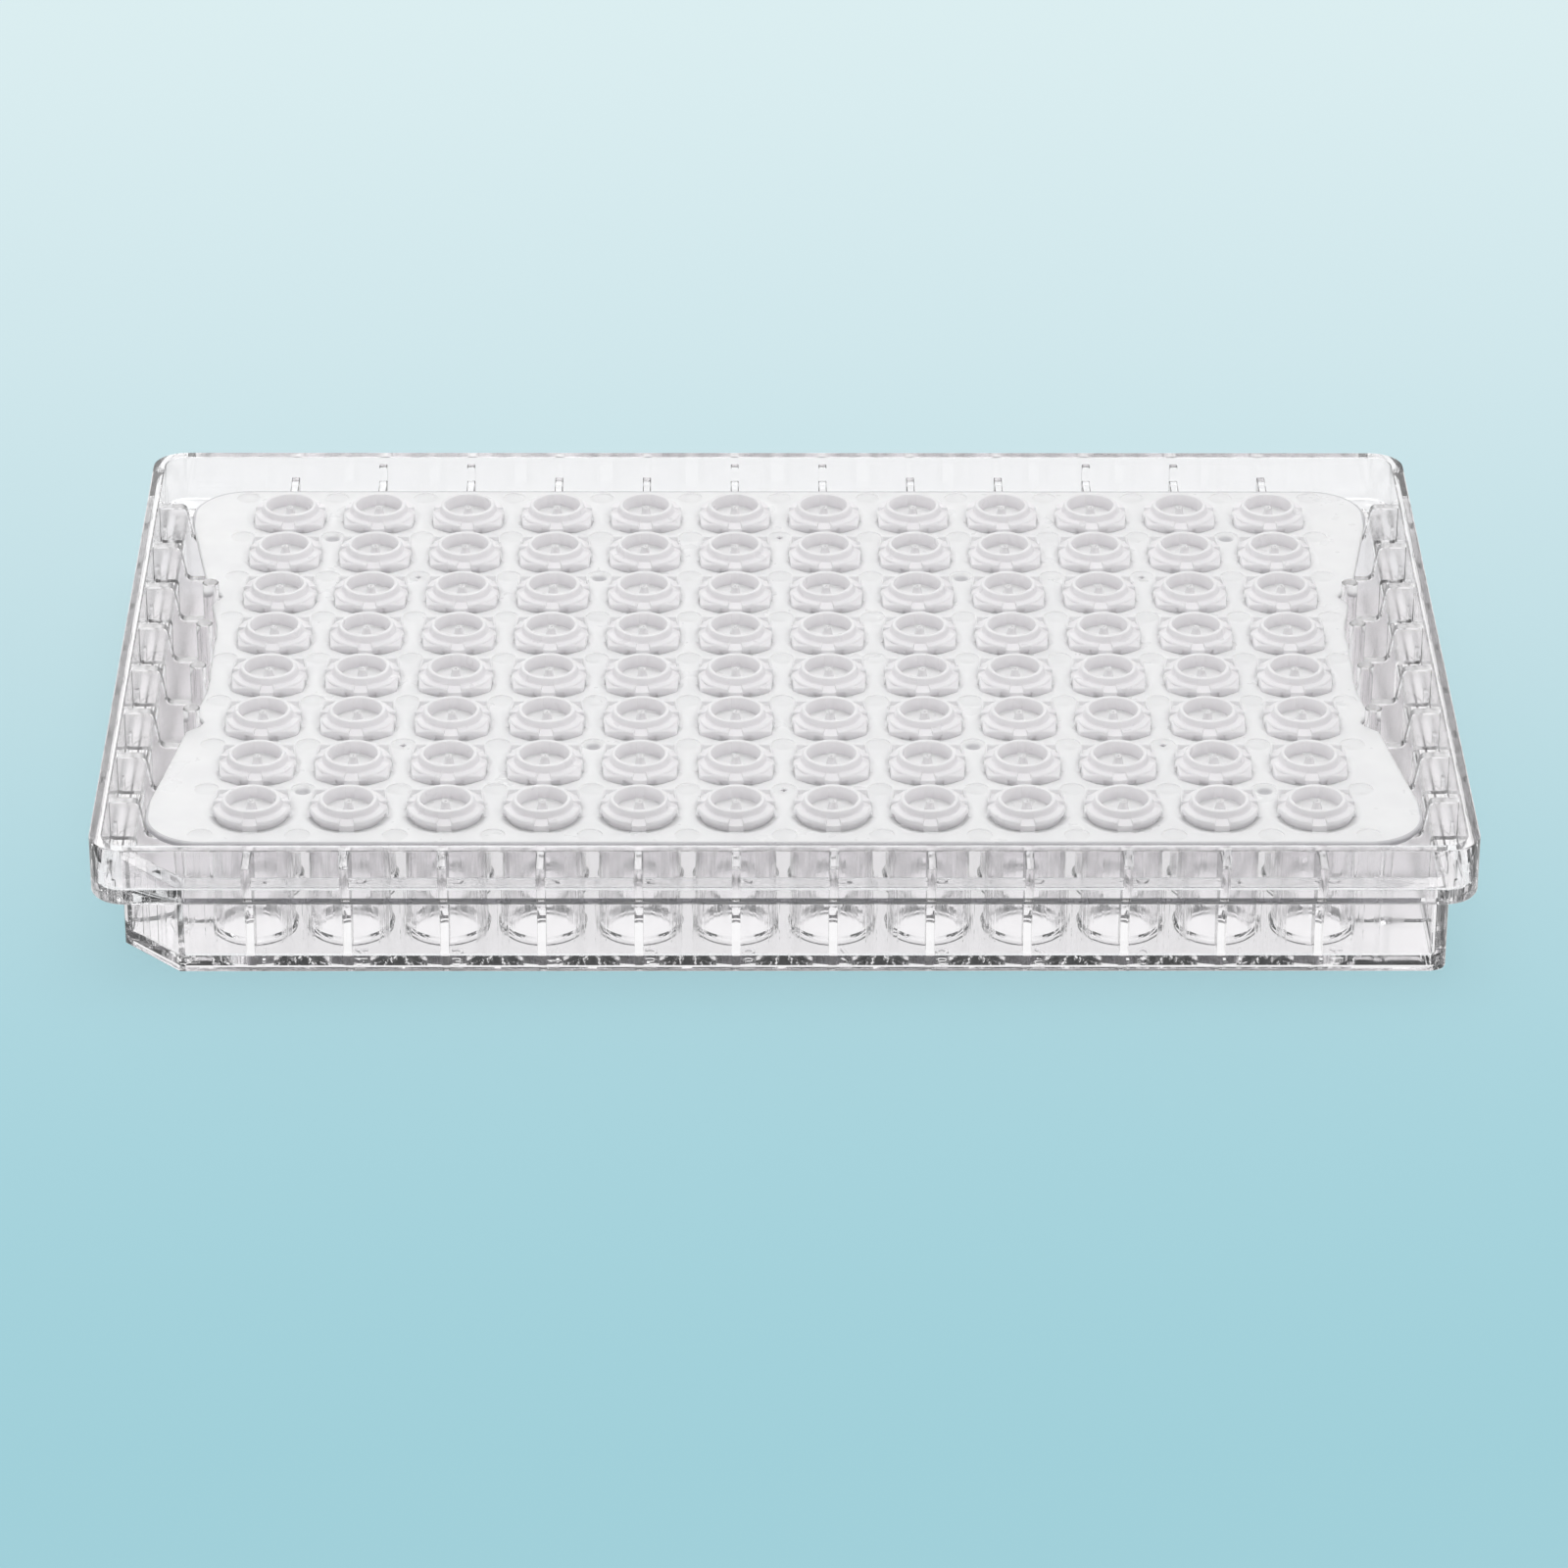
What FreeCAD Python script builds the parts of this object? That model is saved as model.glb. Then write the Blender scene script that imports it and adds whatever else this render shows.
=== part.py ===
"""Filter well plate, 96 wells, lying on its deck with the drain mat uppermost.

Frame: millimetres, +Z up, origin at the middle of the footprint on the plane that the deck rests on.
Column 1 is at -X and column 12 at +X; row A is at -Y and row H at +Y.
"""
import FreeCAD
import Part
import Sketcher
import os

V = FreeCAD.Vector

# Driving dimensions. Every size that can be set by itself is one row of the sheet.
SIZES = [
    ("columns", 12, "wells along X"),
    ("rows", 8, "wells along Y"),
    ("pitch", 9.0, "well to well, both ways"),
    ("plate_height", 14.35, "resting plane to skirt rim"),
    ("end_margin", 7.45, "body beyond the grid of wells, along X"),
    ("side_margin", 3.8, "body beyond the grid of wells, along Y"),
    ("body_corner", 1.5, "corner radius of the body"),
    ("corner_cut", 5.4, "leg of the cut corner beside well A1"),
    ("end_step", 2.43, "flange beyond the body, along X"),
    ("side_step", 2.94, "flange beyond the body, along Y"),
    ("flange_height", 5.8, "skirt flange, along Z"),
    ("flange_corner", 3.2, "outside corner radius of the flange"),
    ("flange_edge", 0.8, "round under the flange"),
    ("wall", 1.2, "wall of the flange, its ledge and the body"),
    ("deck_recess", 0.3, "deck set back from the resting plane"),
    ("deck_thickness", 0.9, "deck"),
    ("tube_gap", 1.3, "between neighbouring well tubes at the deck"),
    ("tube_wall", 0.6, "wall of a well tube"),
    ("tube_draft", 0.15, "how much thinner bore and tube are at the filter"),
    ("mouth_rim", 0.15, "raised rim of a well mouth, out from the tube"),
    ("filter_thickness", 0.2, "filter disc"),
    ("filter_margin", 0.15, "filter disc inside the tube's outer edge"),
    ("sheet_rise", 2.65, "top face of the mat's sheet above the flange's ledge"),
    ("sheet_thickness", 0.6, "sheet of the drain mat"),
    ("sheet_side", 1.7, "mat beyond the grid of wells, along Y"),
    ("sheet_end", 5.4, "mat beyond the grid of wells, along X, at its ends"),
    ("sheet_waist", 1.3, "mat beyond the grid of wells, along X, at its middle"),
    ("waist_span", 14.0, "straight stretch at the mat's waist, along Y"),
    ("sheet_corner", 5.5, "corner radius of the mat"),
    ("sheet_straight", 1.2, "mat's straight end beside its corner"),
    ("socket_gap", 0.05, "socket ring to tube"),
    ("socket_wall", 0.5, "socket ring under the mat"),
    ("socket_depth", 1.2, "socket ring, along Z"),
    ("dish_gap", 0.44, "between neighbouring dishes round the cups"),
    ("dish_depth", 0.25, "dish floor below the sheet"),
    ("dish_width", 0.68, "dish's edge to the cup's foot"),
    ("cup_step", 0.8, "foot of the drip cup above the sheet"),
    ("cup_ledge", 0.73, "level ledge of the cup's foot"),
    ("rim_draft", 0.17, "how much thinner the cup's rim is at its top"),
    ("rim_wall", 0.39, "wall of the cup's rim at its top"),
    ("rim_height", 1.48, "cup's rim above the sheet"),
    ("cup_floor", 0.1, "floor inside the cup above the sheet"),
    ("spout_root", 0.58, "radius of the drip spout at the floor"),
    ("spout_tip", 0.36, "radius of the drip spout at its tip"),
    ("spout_bore", 0.18, "radius of the drip hole"),
    ("spout_height", 1.15, "spout tip above the sheet"),
    ("funnel_margin", 0.75, "shallow funnel under the cup, in from the socket"),
    ("funnel_depth", 0.3, "funnel, along Z"),
    ("rib_thickness", 0.8, "ribs to the long walls"),
    ("rib_drop", 0.3, "rib beside the wall, below the mat's top face"),
    ("nib_drop", 0.75, "nib on every second pair of ribs, below the skirt rim"),
    ("nib_length", 0.85, "nib, out from the wall"),
    ("web_thickness", 1.2, "webs to the short walls"),
    ("web_drop", 0.7, "web beside the wall, below the skirt rim"),
    ("web_gap", 0.58, "level top of a web, out from the mat's end"),
    ("web_slope", 0.65, "run of the web's steep edge"),
    ("web_rise", 0.2, "low stretch of a web above the flange's ledge"),
    ("post_radius", 0.8, "post at the end of a web"),
    ("post_margin", 2.3, "post beyond the grid of wells, along X"),
    ("post_drop", 0.36, "tall post, below the skirt rim"),
    ("post_rows", 4, "rows whose posts are tall"),
    ("fit", 0.3, "clearance between the plate and the mat"),
]

doc = FreeCAD.newDocument("WellPlate")
sheet = doc.addObject("Spreadsheet::Sheet", "Sizes")
for line, (alias, value, note) in enumerate(SIZES, start=1):
    sheet.set(f"A{line}", alias)
    sheet.set(f"B{line}", str(value))
    sheet.set(f"C{line}", note)
    sheet.setAlias(f"B{line}", alias)
doc.recompute()

# Places that several pieces share, as expressions on the sheet's cells and on the places above them.
NAMES = {alias for alias, value, note in SIZES}
SHARED = {
    "column_one": "-(columns - 1) * pitch / 2",
    "row_a": "-(rows - 1) * pitch / 2",
    "body_long": "columns * pitch / 2 + end_margin",
    "body_wide": "rows * pitch / 2 + side_margin",
    "flange_long": "body_long + end_step",
    "flange_wide": "body_wide + side_step",
    "inside_short": "flange_long - wall",
    "inside_long": "flange_wide - wall",
    "body_inside_short": "body_long - wall",
    "body_inside_long": "body_wide - wall",
    "inner_cut": "corner_cut - wall * (2 - sqrt(2))",
    "sheet_long": "columns * pitch / 2 + sheet_end",
    "sheet_wide": "rows * pitch / 2 + sheet_side",
    "waist": "columns * pitch / 2 + sheet_waist",
    "shoulder": "sheet_wide - sheet_corner - sheet_straight",
    "post_place": "columns * pitch / 2 + post_margin",
    "deck_top": "deck_recess + deck_thickness",
    "root": "deck_top - deck_thickness / 4",
    "flange_foot": "plate_height - flange_height",
    "ledge": "flange_foot + wall",
    "web_ledge": "ledge + web_rise",
    "web_top": "plate_height - web_drop",
    "nib_top": "plate_height - nib_drop",
    "post_top": "plate_height - post_drop",
    "sheet_top": "ledge + sheet_rise",
    "rib_top": "sheet_top - rib_drop",
    "sheet_foot": "sheet_top - sheet_thickness",
    "tube_end": "sheet_foot - filter_thickness",
    "tube_radius": "(pitch - tube_gap) / 2",
    "bore_radius": "tube_radius - tube_wall",
    "mouth_radius": "tube_radius + mouth_rim",
    "filter_radius": "tube_radius - tube_draft - filter_margin",
    "socket_bore": "tube_radius - tube_draft + socket_gap",
    "socket_edge": "socket_bore + socket_wall",
    "socket_foot": "sheet_foot - socket_depth",
    "funnel_radius": "socket_bore - funnel_margin",
    "dish_radius": "(pitch - dish_gap) / 2",
    "dish_floor": "sheet_top - dish_depth",
    "cup_radius": "dish_radius - dish_width",
    "cup_foot": "sheet_top + cup_step",
    "cup_top": "sheet_top + rim_height",
    "rim_root": "cup_radius - cup_ledge",
    "rim_radius": "rim_root - rim_draft",
    "rim_bore": "rim_radius - rim_wall",
    "inner_floor": "sheet_top + cup_floor",
    "spout_top": "sheet_top + spout_height",
}
EVERY_COLUMN = ("X_Axis", "columns", "pitch")
EVERY_ROW = ("Y_Axis", "rows", "pitch")


def expand(text):
    """Return an expression with shared places spelt out and cells named on the sheet."""
    for name, meaning in reversed(SHARED.items()):
        text = replace_word(text, name, f"({meaning})")
    for name in NAMES:
        text = replace_word(text, name, f"Sizes.{name}")
    return text


def replace_word(text, word, other):
    """Replace a whole word in an expression."""
    parts, word_now = [], ""
    for letter in text + " ":
        if letter.isalnum() or letter in "_.":
            word_now += letter
            continue
        parts.append(other if word_now == word else word_now)
        parts.append(letter)
        word_now = ""
    return "".join(parts).strip()


def number(text):
    """Return the value of an expression, in millimetres."""
    value = sheet.evalExpression(expand(str(text)))
    return float(getattr(value, "Value", value))


def origin_item(body, role):
    """Return one of the body's own origin planes or axes."""
    return next(item for item in body.Origin.OriginFeatures if item.Role == role)


def new_body(label):
    """Return a new body, which may hold several separate solids."""
    body = doc.addObject("PartDesign::Body", label)
    body.AllowCompound = True
    return body


def new_sketch(body, name, role, x="0", y="0", z="0"):
    """Return a sketch on one of the body's origin planes, moved to x, y, z in the sketch's own axes."""
    sketch = body.newObject("Sketcher::SketchObject", name)
    sketch.AttachmentSupport = [(origin_item(body, role), "")]
    sketch.MapMode = "FlatFace"
    for axis, text in (("x", x), ("y", y), ("z", z)):
        if text != "0":
            sketch.setExpression(f".AttachmentOffset.Base.{axis}", expand(text))
    return sketch


def hold_point(sketch, index, end, x, y):
    """Tie one point of a sketch to its two expressions."""
    for kind, text in (("DistanceX", x), ("DistanceY", y)):
        row = sketch.addConstraint(Sketcher.Constraint(kind, -1, 1, index, end, number(text)))
        sketch.setExpression(f"Constraints[{row}]", expand(str(text)))


def add_outline(sketch, points):
    """Add a closed outline of straight lines through points given as pairs of expressions."""
    places = [V(number(x), number(y), 0) for x, y in points]
    first = sketch.GeometryCount
    for index, place in enumerate(places):
        line = Part.LineSegment(place, places[(index + 1) % len(places)])
        sketch.addGeometry(line)
    for index, (x, y) in enumerate(points):
        hold_point(sketch, first + index, 1, x, y)
        after = first + (index + 1) % len(points)
        sketch.addConstraint(Sketcher.Constraint("Coincident", first + index, 2, after, 1))


def add_circle(sketch, x, y, radius):
    """Add a circle whose middle and radius are expressions."""
    circle = Part.Circle(V(number(x), number(y), 0), V(0, 0, 1), number(radius))
    index = sketch.addGeometry(circle)
    hold_point(sketch, index, 3, x, y)
    row = sketch.addConstraint(Sketcher.Constraint("Radius", index, number(radius)))
    sketch.setExpression(f"Constraints[{row}]", expand(radius))


def box_points(half_x, half_y):
    """Return the corners of a rectangle about the origin."""
    left, front = f"-({half_x})", f"-({half_y})"
    return [(left, front), (half_x, front), (half_x, half_y), (left, half_y)]


def cut_box_points(half_x, half_y, cut):
    """Return a rectangle's corners with the one at -X, -Y cut off."""
    left, front = f"-({half_x})", f"-({half_y})"
    near = (f"{left} + {cut}", front)
    far = (left, f"{front} + {cut}")
    return [near] + box_points(half_x, half_y)[1:] + [far]


def mirrored(points, about="0"):
    """Return points mirrored in the sketch's first axis about a place."""
    return [(f"2 * ({about}) - ({x})", y) for x, y in points]


def pad(body, name, sketch, length, midplane=False, reverse=False):
    """Pad a sketch; its length is an expression."""
    feature = body.newObject("PartDesign::Pad", name)
    feature.Profile = sketch
    feature.Midplane = midplane
    feature.Reversed = reverse
    feature.setExpression("Length", expand(length))
    return finish(body, feature)


def pocket(body, name, sketch, length, midplane=False, reverse=False):
    """Cut a sketch out of the body; the volume has to drop."""
    before = body.Tip.Shape.Volume
    feature = body.newObject("PartDesign::Pocket", name)
    feature.Profile = sketch
    feature.Midplane = midplane
    feature.Reversed = reverse
    feature.setExpression("Length", expand(length))
    finish(body, feature)
    assert feature.Shape.Volume < before, f"{name} cuts nothing"
    return feature


def turn(body, name, sketch, kind="PartDesign::Revolution"):
    """Turn a sketch about its own upright axis."""
    feature = body.newObject(kind, name)
    feature.Profile = sketch
    feature.ReferenceAxis = (sketch, ["V_Axis"])
    feature.Angle = 360
    return finish(body, feature)


def finish(body, feature):
    """Make a feature the body's tip and compute it."""
    body.Tip = feature
    doc.recompute()
    return feature


def repeat(body, name, feature, *runs):
    """Repeat a feature along one or two runs, each an axis, a count and a step."""
    pattern = body.newObject("PartDesign::LinearPattern", name)
    pattern.Originals = [feature]
    pattern.Refine = False
    for suffix, (axis, count, step) in zip(("", "2"), runs):
        setattr(pattern, f"Direction{suffix}", (origin_item(body, axis), [""]))
        pattern.setExpression(f"Occurrences{suffix}", expand(count))
        pattern.setExpression(f"Length{suffix}", expand(f"(({count}) - 1) * {step}"))
    return finish(body, pattern)


def joined(label, pieces):
    """Return one object that fuses the pieces."""
    fused = doc.addObject("Part::MultiFuse", label.title().replace("_", "") + "Joined")
    fused.Label = label
    fused.Shapes = pieces
    fused.Refine = False
    doc.recompute()
    return fused


def less(label, base, tool):
    """Return one object that is the base with the tool cut out; the volume has to drop."""
    cut = doc.addObject("Part::Cut", label.title().replace("_", "") + "Cut")
    cut.Label = label
    cut.Base = base
    cut.Tool = tool
    cut.Refine = False
    doc.recompute()
    assert cut.Shape.Volume < base.Shape.Volume, f"{label} cuts nothing"
    return cut


def round_edges(body, name, radius, wanted):
    """Round the tip's edges for which wanted(edge) is true."""
    tip = body.Tip
    picked = [f"Edge{i}" for i, edge in enumerate(tip.Shape.Edges, start=1) if wanted(edge)]
    assert picked, f"{name} finds no edge"
    feature = body.newObject("PartDesign::Fillet", name)
    feature.Base = (tip, picked)
    feature.setExpression("Radius", expand(radius))
    return finish(body, feature)


def upright_at(half_x, half_y, low, high, skip_cut=False):
    """Return a test for upright edges at a rectangle's corners, between two heights."""
    x, y, bottom, top = number(half_x), number(half_y), number(low), number(high)

    def test(edge):
        box = edge.BoundBox
        if box.XLength > 1e-4 or box.YLength > 1e-4 or box.ZMin < bottom - 1e-4 or box.ZMax > top + 1e-4:
            return False
        at_corner = abs(abs(box.XMin) - x) < 1e-4 and abs(abs(box.YMin) - y) < 1e-4
        return at_corner and not (skip_cut and box.XMin < 0 and box.YMin < 0)
    return test


def outside_of(half_x, half_y, height):
    """Return a test for level edges at a height and well outside a rectangle."""
    x, y, level = number(half_x), number(half_y), number(height)

    def test(edge):
        box = edge.BoundBox
        if box.ZLength > 1e-4 or abs(box.ZMin - level) > 1e-4:
            return False
        return max(abs(box.XMin), abs(box.XMax)) > x + 1 or max(abs(box.YMin), abs(box.YMax)) > y + 1
    return test


def make_plate():
    """One moulding: flange, body, deck, wells, ribs, webs and posts."""
    parts = [make_shell(), make_tubes(), make_ribs(), make_webs(), make_posts()]
    return less("plate_body", joined("plate_blank", parts), make_bores())


def make_shell():
    """Body with its deck and cut corner, and the wider flange above it."""
    body = new_body("Shell")
    outline = new_sketch(body, "BodyOutline", "XY_Plane")
    add_outline(outline, cut_box_points("body_long", "body_wide", "corner_cut"))
    pad(body, "BodyBlock", outline, "flange_foot")
    round_edges(body, "BodyCorners", "body_corner",
                upright_at("body_long", "body_wide", "0", "flange_foot", skip_cut=True))

    outline = new_sketch(body, "FlangeOutline", "XY_Plane", z="flange_foot")
    add_outline(outline, box_points("flange_long", "flange_wide"))
    pad(body, "FlangeBlock", outline, "flange_height")
    round_edges(body, "FlangeCorners", "flange_corner",
                upright_at("flange_long", "flange_wide", "flange_foot", "plate_height"))
    round_edges(body, "FlangeEdge", "flange_edge", outside_of("body_long", "body_wide", "flange_foot"))

    hollow = new_sketch(body, "FlangeHollow", "XY_Plane", z="plate_height")
    add_outline(hollow, box_points("inside_short", "inside_long"))
    pocket(body, "FlangeInside", hollow, "plate_height - ledge")
    round_edges(body, "FlangeInsideCorners", "flange_corner - wall",
                upright_at("inside_short", "inside_long", "ledge", "plate_height"))
    hollow = new_sketch(body, "BodyHollow", "XY_Plane", z="plate_height")
    add_outline(hollow, cut_box_points("body_inside_short", "body_inside_long", "inner_cut"))
    pocket(body, "BodyInside", hollow, "plate_height - deck_top")
    recess = new_sketch(body, "DeckRecess", "XY_Plane")
    add_outline(recess, cut_box_points("body_inside_short", "body_inside_long", "inner_cut"))
    pocket(body, "DeckUnderside", recess, "deck_recess", reverse=True)
    return body


def make_tubes():
    """Well tubes with the raised rims of their mouths, before the bores."""
    body = new_body("WellTubes")
    profile = new_sketch(body, "TubeProfile", "XZ_Plane", x="column_one", z="-(row_a)")
    add_outline(profile, [
        ("0", "0"), ("mouth_radius", "0"), ("mouth_radius", "deck_recess"), ("tube_radius", "deck_top"),
        ("tube_radius - tube_draft", "tube_end"), ("0", "tube_end")])
    repeat(body, "Tubes", turn(body, "Tube", profile), EVERY_COLUMN, EVERY_ROW)
    return body


def make_bores():
    """The space inside every well."""
    body = new_body("WellBores")
    profile = new_sketch(body, "BoreProfile", "XZ_Plane", x="column_one", z="-(row_a)")
    add_outline(profile, [("0", "0"), ("bore_radius", "0"), ("bore_radius - tube_draft", "tube_end"),
                          ("0", "tube_end")])
    repeat(body, "Bores", turn(body, "Bore", profile), EVERY_COLUMN, EVERY_ROW)
    return body


def rib_points(start):
    """Outline of a rib from a long wall to a tube; the first axis runs out from the middle."""
    tube_side = f"{start} + tube_radius - 0.5 * wall"
    socket_side = f"{start} + socket_edge + fit"
    mat_side = "sheet_wide + fit"
    return [
        (tube_side, "root"), ("body_inside_long + wall / 4", "root"),
        ("body_inside_long + wall / 4", "ledge - wall / 4"), ("inside_long + wall / 4", "ledge - wall / 4"),
        ("inside_long + wall / 4", "rib_top"), (mat_side, "rib_top"), (mat_side, "sheet_foot - fit"),
        (socket_side, "sheet_foot - fit"), (socket_side, "socket_foot - fit"),
        (tube_side, "socket_foot - fit")]


def make_ribs():
    """Ribs from each column's end tubes to the long walls, with a nib on every second pair."""
    body = new_body("LongWallRibs")
    sketch = new_sketch(body, "RibOutline", "YZ_Plane", z="column_one")
    points = rib_points("-(row_a)")
    add_outline(sketch, points)
    add_outline(sketch, mirrored(points))
    repeat(body, "Ribs", pad(body, "Rib", sketch, "rib_thickness", midplane=True), EVERY_COLUMN)

    sketch = new_sketch(body, "NibOutline", "YZ_Plane", z="column_one + pitch")
    inner, outer, foot = "inside_long - nib_length", "inside_long + wall / 4", "rib_top - wall / 4"
    points = [(inner, foot), (outer, foot), (outer, "nib_top"), (inner, "nib_top")]
    add_outline(sketch, points)
    add_outline(sketch, mirrored(points))
    nib = pad(body, "Nib", sketch, "rib_thickness", midplane=True)
    repeat(body, "Nibs", nib, ("X_Axis", "2", "pitch"), ("X_Axis", "floor(columns / 4)", "4 * pitch"))
    return body


def make_webs():
    """Webs from each row's end tubes to the short walls."""
    body = new_body("ShortWallWebs")
    sketch = new_sketch(body, "WebOutline", "XZ_Plane", z="-(row_a)")
    tube_side = "-(column_one) + tube_radius - 0.5 * wall"
    points = [
        (tube_side, "root"), ("body_inside_short + wall / 4", "root"),
        ("body_inside_short + wall / 4", "ledge - wall / 4"), ("inside_short + wall / 4", "ledge - wall / 4"),
        ("inside_short + wall / 4", "web_top"), ("sheet_long + web_gap", "web_top"),
        ("sheet_long + web_gap - web_slope", "web_ledge"), (tube_side, "web_ledge")]
    add_outline(sketch, points)
    add_outline(sketch, mirrored(points))
    repeat(body, "Webs", pad(body, "Web", sketch, "web_thickness", midplane=True), EVERY_ROW)
    return body


def make_posts():
    """Tall posts beside the mat's waist and short ones under its ends."""
    body = new_body("Posts")
    sketch = new_sketch(body, "TallPosts", "XY_Plane", z="root")
    for side in ("-", ""):
        add_circle(sketch, f"{side}(post_place)", "-(post_rows - 1) * pitch / 2", "post_radius")
    tall = pad(body, "TallPost", sketch, "post_top - (root)")
    repeat(body, "TallPostRows", tall, ("Y_Axis", "post_rows", "pitch"))
    sketch = new_sketch(body, "ShortPosts", "XY_Plane", z="root")
    for side in ("-", ""):
        for end in ("-", ""):
            for step in ("0", "1"):
                place = f"{end}((rows - 1) * pitch / 2 - {step} * pitch)"
                add_circle(sketch, f"{side}(post_place)", place, "post_radius")
    pad(body, "ShortPost", sketch, "web_ledge - (root)")
    return body


def make_underdrain():
    """One moulded mat: sheet, sockets below, drip cups with spouts above."""
    return joined("underdrain", [make_sheet(), make_cups()])


def make_sheet():
    """The mat's sheet, with notches for the posts and a hole for every cup."""
    body = new_body("MatSheet")
    outline = new_sketch(body, "SheetOutline", "XY_Plane", z="sheet_foot")
    right = [("sheet_long", "-(sheet_wide)"), ("sheet_long", "-(shoulder)"),
             ("waist", "-waist_span / 2"), ("waist", "waist_span / 2"),
             ("sheet_long", "shoulder"), ("sheet_long", "sheet_wide")]
    add_outline(outline, right + list(reversed(mirrored(right))))
    pad(body, "Blank", outline, "sheet_thickness")
    round_edges(body, "BlankCorners", "sheet_corner",
                upright_at("sheet_long", "sheet_wide", "sheet_foot", "sheet_top"))
    sketch = new_sketch(body, "PostNotch", "XY_Plane", z="sheet_top")
    for side in ("-", ""):
        for end in ("-", ""):
            add_circle(sketch, f"{side}(post_place)", f"{end}((post_rows - 1) * pitch / 2)",
                       "post_radius + fit")
    pocket(body, "PostNotches", sketch, "sheet_thickness")
    hole = new_sketch(body, "CupSeat", "XY_Plane", z="sheet_top")
    add_circle(hole, "column_one", "row_a", "dish_radius")
    repeat(body, "CupSeats", pocket(body, "CupHole", hole, "sheet_thickness"), EVERY_COLUMN, EVERY_ROW)
    return body


def make_cups():
    """Drip cup, spout and socket of every well, each with the dish around it."""
    body = new_body("DripCups")
    cup = new_sketch(body, "CupProfile", "XZ_Plane", x="column_one", z="-(row_a)")
    add_outline(cup, [
        ("dish_radius", "sheet_foot"), ("dish_radius", "sheet_top"),
        ("dish_radius - dish_depth", "dish_floor"), ("cup_radius", "dish_floor"),
        ("cup_radius", "cup_foot"), ("rim_root", "cup_foot"),
        ("rim_radius", "cup_top"), ("rim_bore", "cup_top"),
        ("rim_bore", "inner_floor"), ("spout_root", "inner_floor"),
        ("spout_tip", "spout_top"), ("spout_bore", "spout_top"),
        ("spout_bore", "sheet_foot + funnel_depth"), ("funnel_radius", "sheet_foot"),
        ("socket_bore", "sheet_foot"), ("socket_bore", "socket_foot"),
        ("socket_edge", "socket_foot"), ("socket_edge", "sheet_foot")])
    repeat(body, "Cups", turn(body, "Cup", cup), EVERY_COLUMN, EVERY_ROW)
    return body


def make_membranes():
    """Filter discs on the tube ends, one group of separate discs for each row of wells."""
    groups = []
    for row in range(int(number("rows"))):
        label = f"membranes_row_{chr(ord('a') + row)}"
        discs = []
        for column in range(int(number("columns"))):
            disc = doc.addObject("Part::Cylinder", f"Disc{row}x{column}")
            disc.setExpression("Radius", expand("filter_radius"))
            disc.setExpression("Height", expand("filter_thickness"))
            disc.setExpression(".Placement.Base.x", expand(f"column_one + {column} * pitch"))
            disc.setExpression(".Placement.Base.y", expand(f"row_a + {row} * pitch"))
            disc.setExpression(".Placement.Base.z", expand("tube_end"))
            discs.append(disc)
        group = doc.addObject("Part::Compound", label.title().replace("_", ""))
        group.Label = label
        group.Links = discs
        groups.append(group)
    doc.recompute()
    return groups


def check_and_write(nodes):
    """Stop if anything failed, then write one file for each node."""
    doc.recompute()
    for item in doc.Objects:
        assert not {"Invalid", "Error"} & set(item.State), f"{item.Label} failed: {item.State}"
    for node in nodes:
        assert not node.Shape.isNull() and node.Shape.isValid(), f"{node.Label} has no valid shape"
    os.makedirs("parts", exist_ok=True)
    for node in nodes:
        node.Shape.exportStep(f"parts/{node.Label}.step")
        print(node.Label, len(node.Shape.Solids), "solids", len(node.Shape.Faces), "faces")


check_and_write([make_plate(), make_underdrain()] + make_membranes())
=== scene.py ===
"""Looks of the filter well plate: clear body, milky drain mat and white filter discs.

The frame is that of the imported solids, in metres: +Z up, column 1 at -X, row A at -Y, the deck resting
on Z = 0 and the drain mat uppermost. Sizes inside the classes are in millimetres.
"""
import logging
import math
from dataclasses import dataclass, field
from enum import Enum
from typing import Callable, Sequence

import bmesh
import bpy
from mathutils import Matrix, Vector


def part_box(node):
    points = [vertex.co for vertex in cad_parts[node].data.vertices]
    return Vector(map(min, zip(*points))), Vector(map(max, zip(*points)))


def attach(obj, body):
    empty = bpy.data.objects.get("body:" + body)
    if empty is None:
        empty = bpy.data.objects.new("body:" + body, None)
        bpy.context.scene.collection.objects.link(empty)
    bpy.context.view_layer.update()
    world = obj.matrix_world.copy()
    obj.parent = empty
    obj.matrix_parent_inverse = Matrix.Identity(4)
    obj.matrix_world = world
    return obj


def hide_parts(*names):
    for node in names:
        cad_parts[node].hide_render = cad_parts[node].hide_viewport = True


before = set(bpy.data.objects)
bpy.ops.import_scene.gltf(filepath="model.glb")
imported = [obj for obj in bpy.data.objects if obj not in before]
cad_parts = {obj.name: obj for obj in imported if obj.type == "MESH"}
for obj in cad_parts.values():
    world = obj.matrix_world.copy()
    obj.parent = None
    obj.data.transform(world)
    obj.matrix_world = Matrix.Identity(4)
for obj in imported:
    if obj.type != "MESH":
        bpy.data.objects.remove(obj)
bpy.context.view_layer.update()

log = logging.getLogger("well_plate")

MM = 0.001
# Two patterns of noise lie this many of their own sizes apart.
SEED_STEP = 7.3
# Corners nearer than this are one.
WELD = 0.0005 * MM
# A normal this near an axis is that of a flat.
LEVEL = 0.99999
# The least cosine at a corner that moves inwards, so that it doesn't run away.
SHARPEST = 0.3
# Where the middle of a rounding in two steps lies, as a share of its radius.
HALFWAY = 0.3
# Millimetres, and a number of rows, that several pieces share.
POST_X = 56.3
CORNER_CUT = 5.4
SOCKET_DEPTH = 1.2
TALL_ROWS = 4

Pair = tuple[float, float]
Point = tuple[float, float, float]
Face = tuple[int, ...]
Tree = bpy.types.NodeTree
Node = bpy.types.Node
Socket = bpy.types.NodeSocket
Material = bpy.types.Material
Thing = bpy.types.Object


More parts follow.
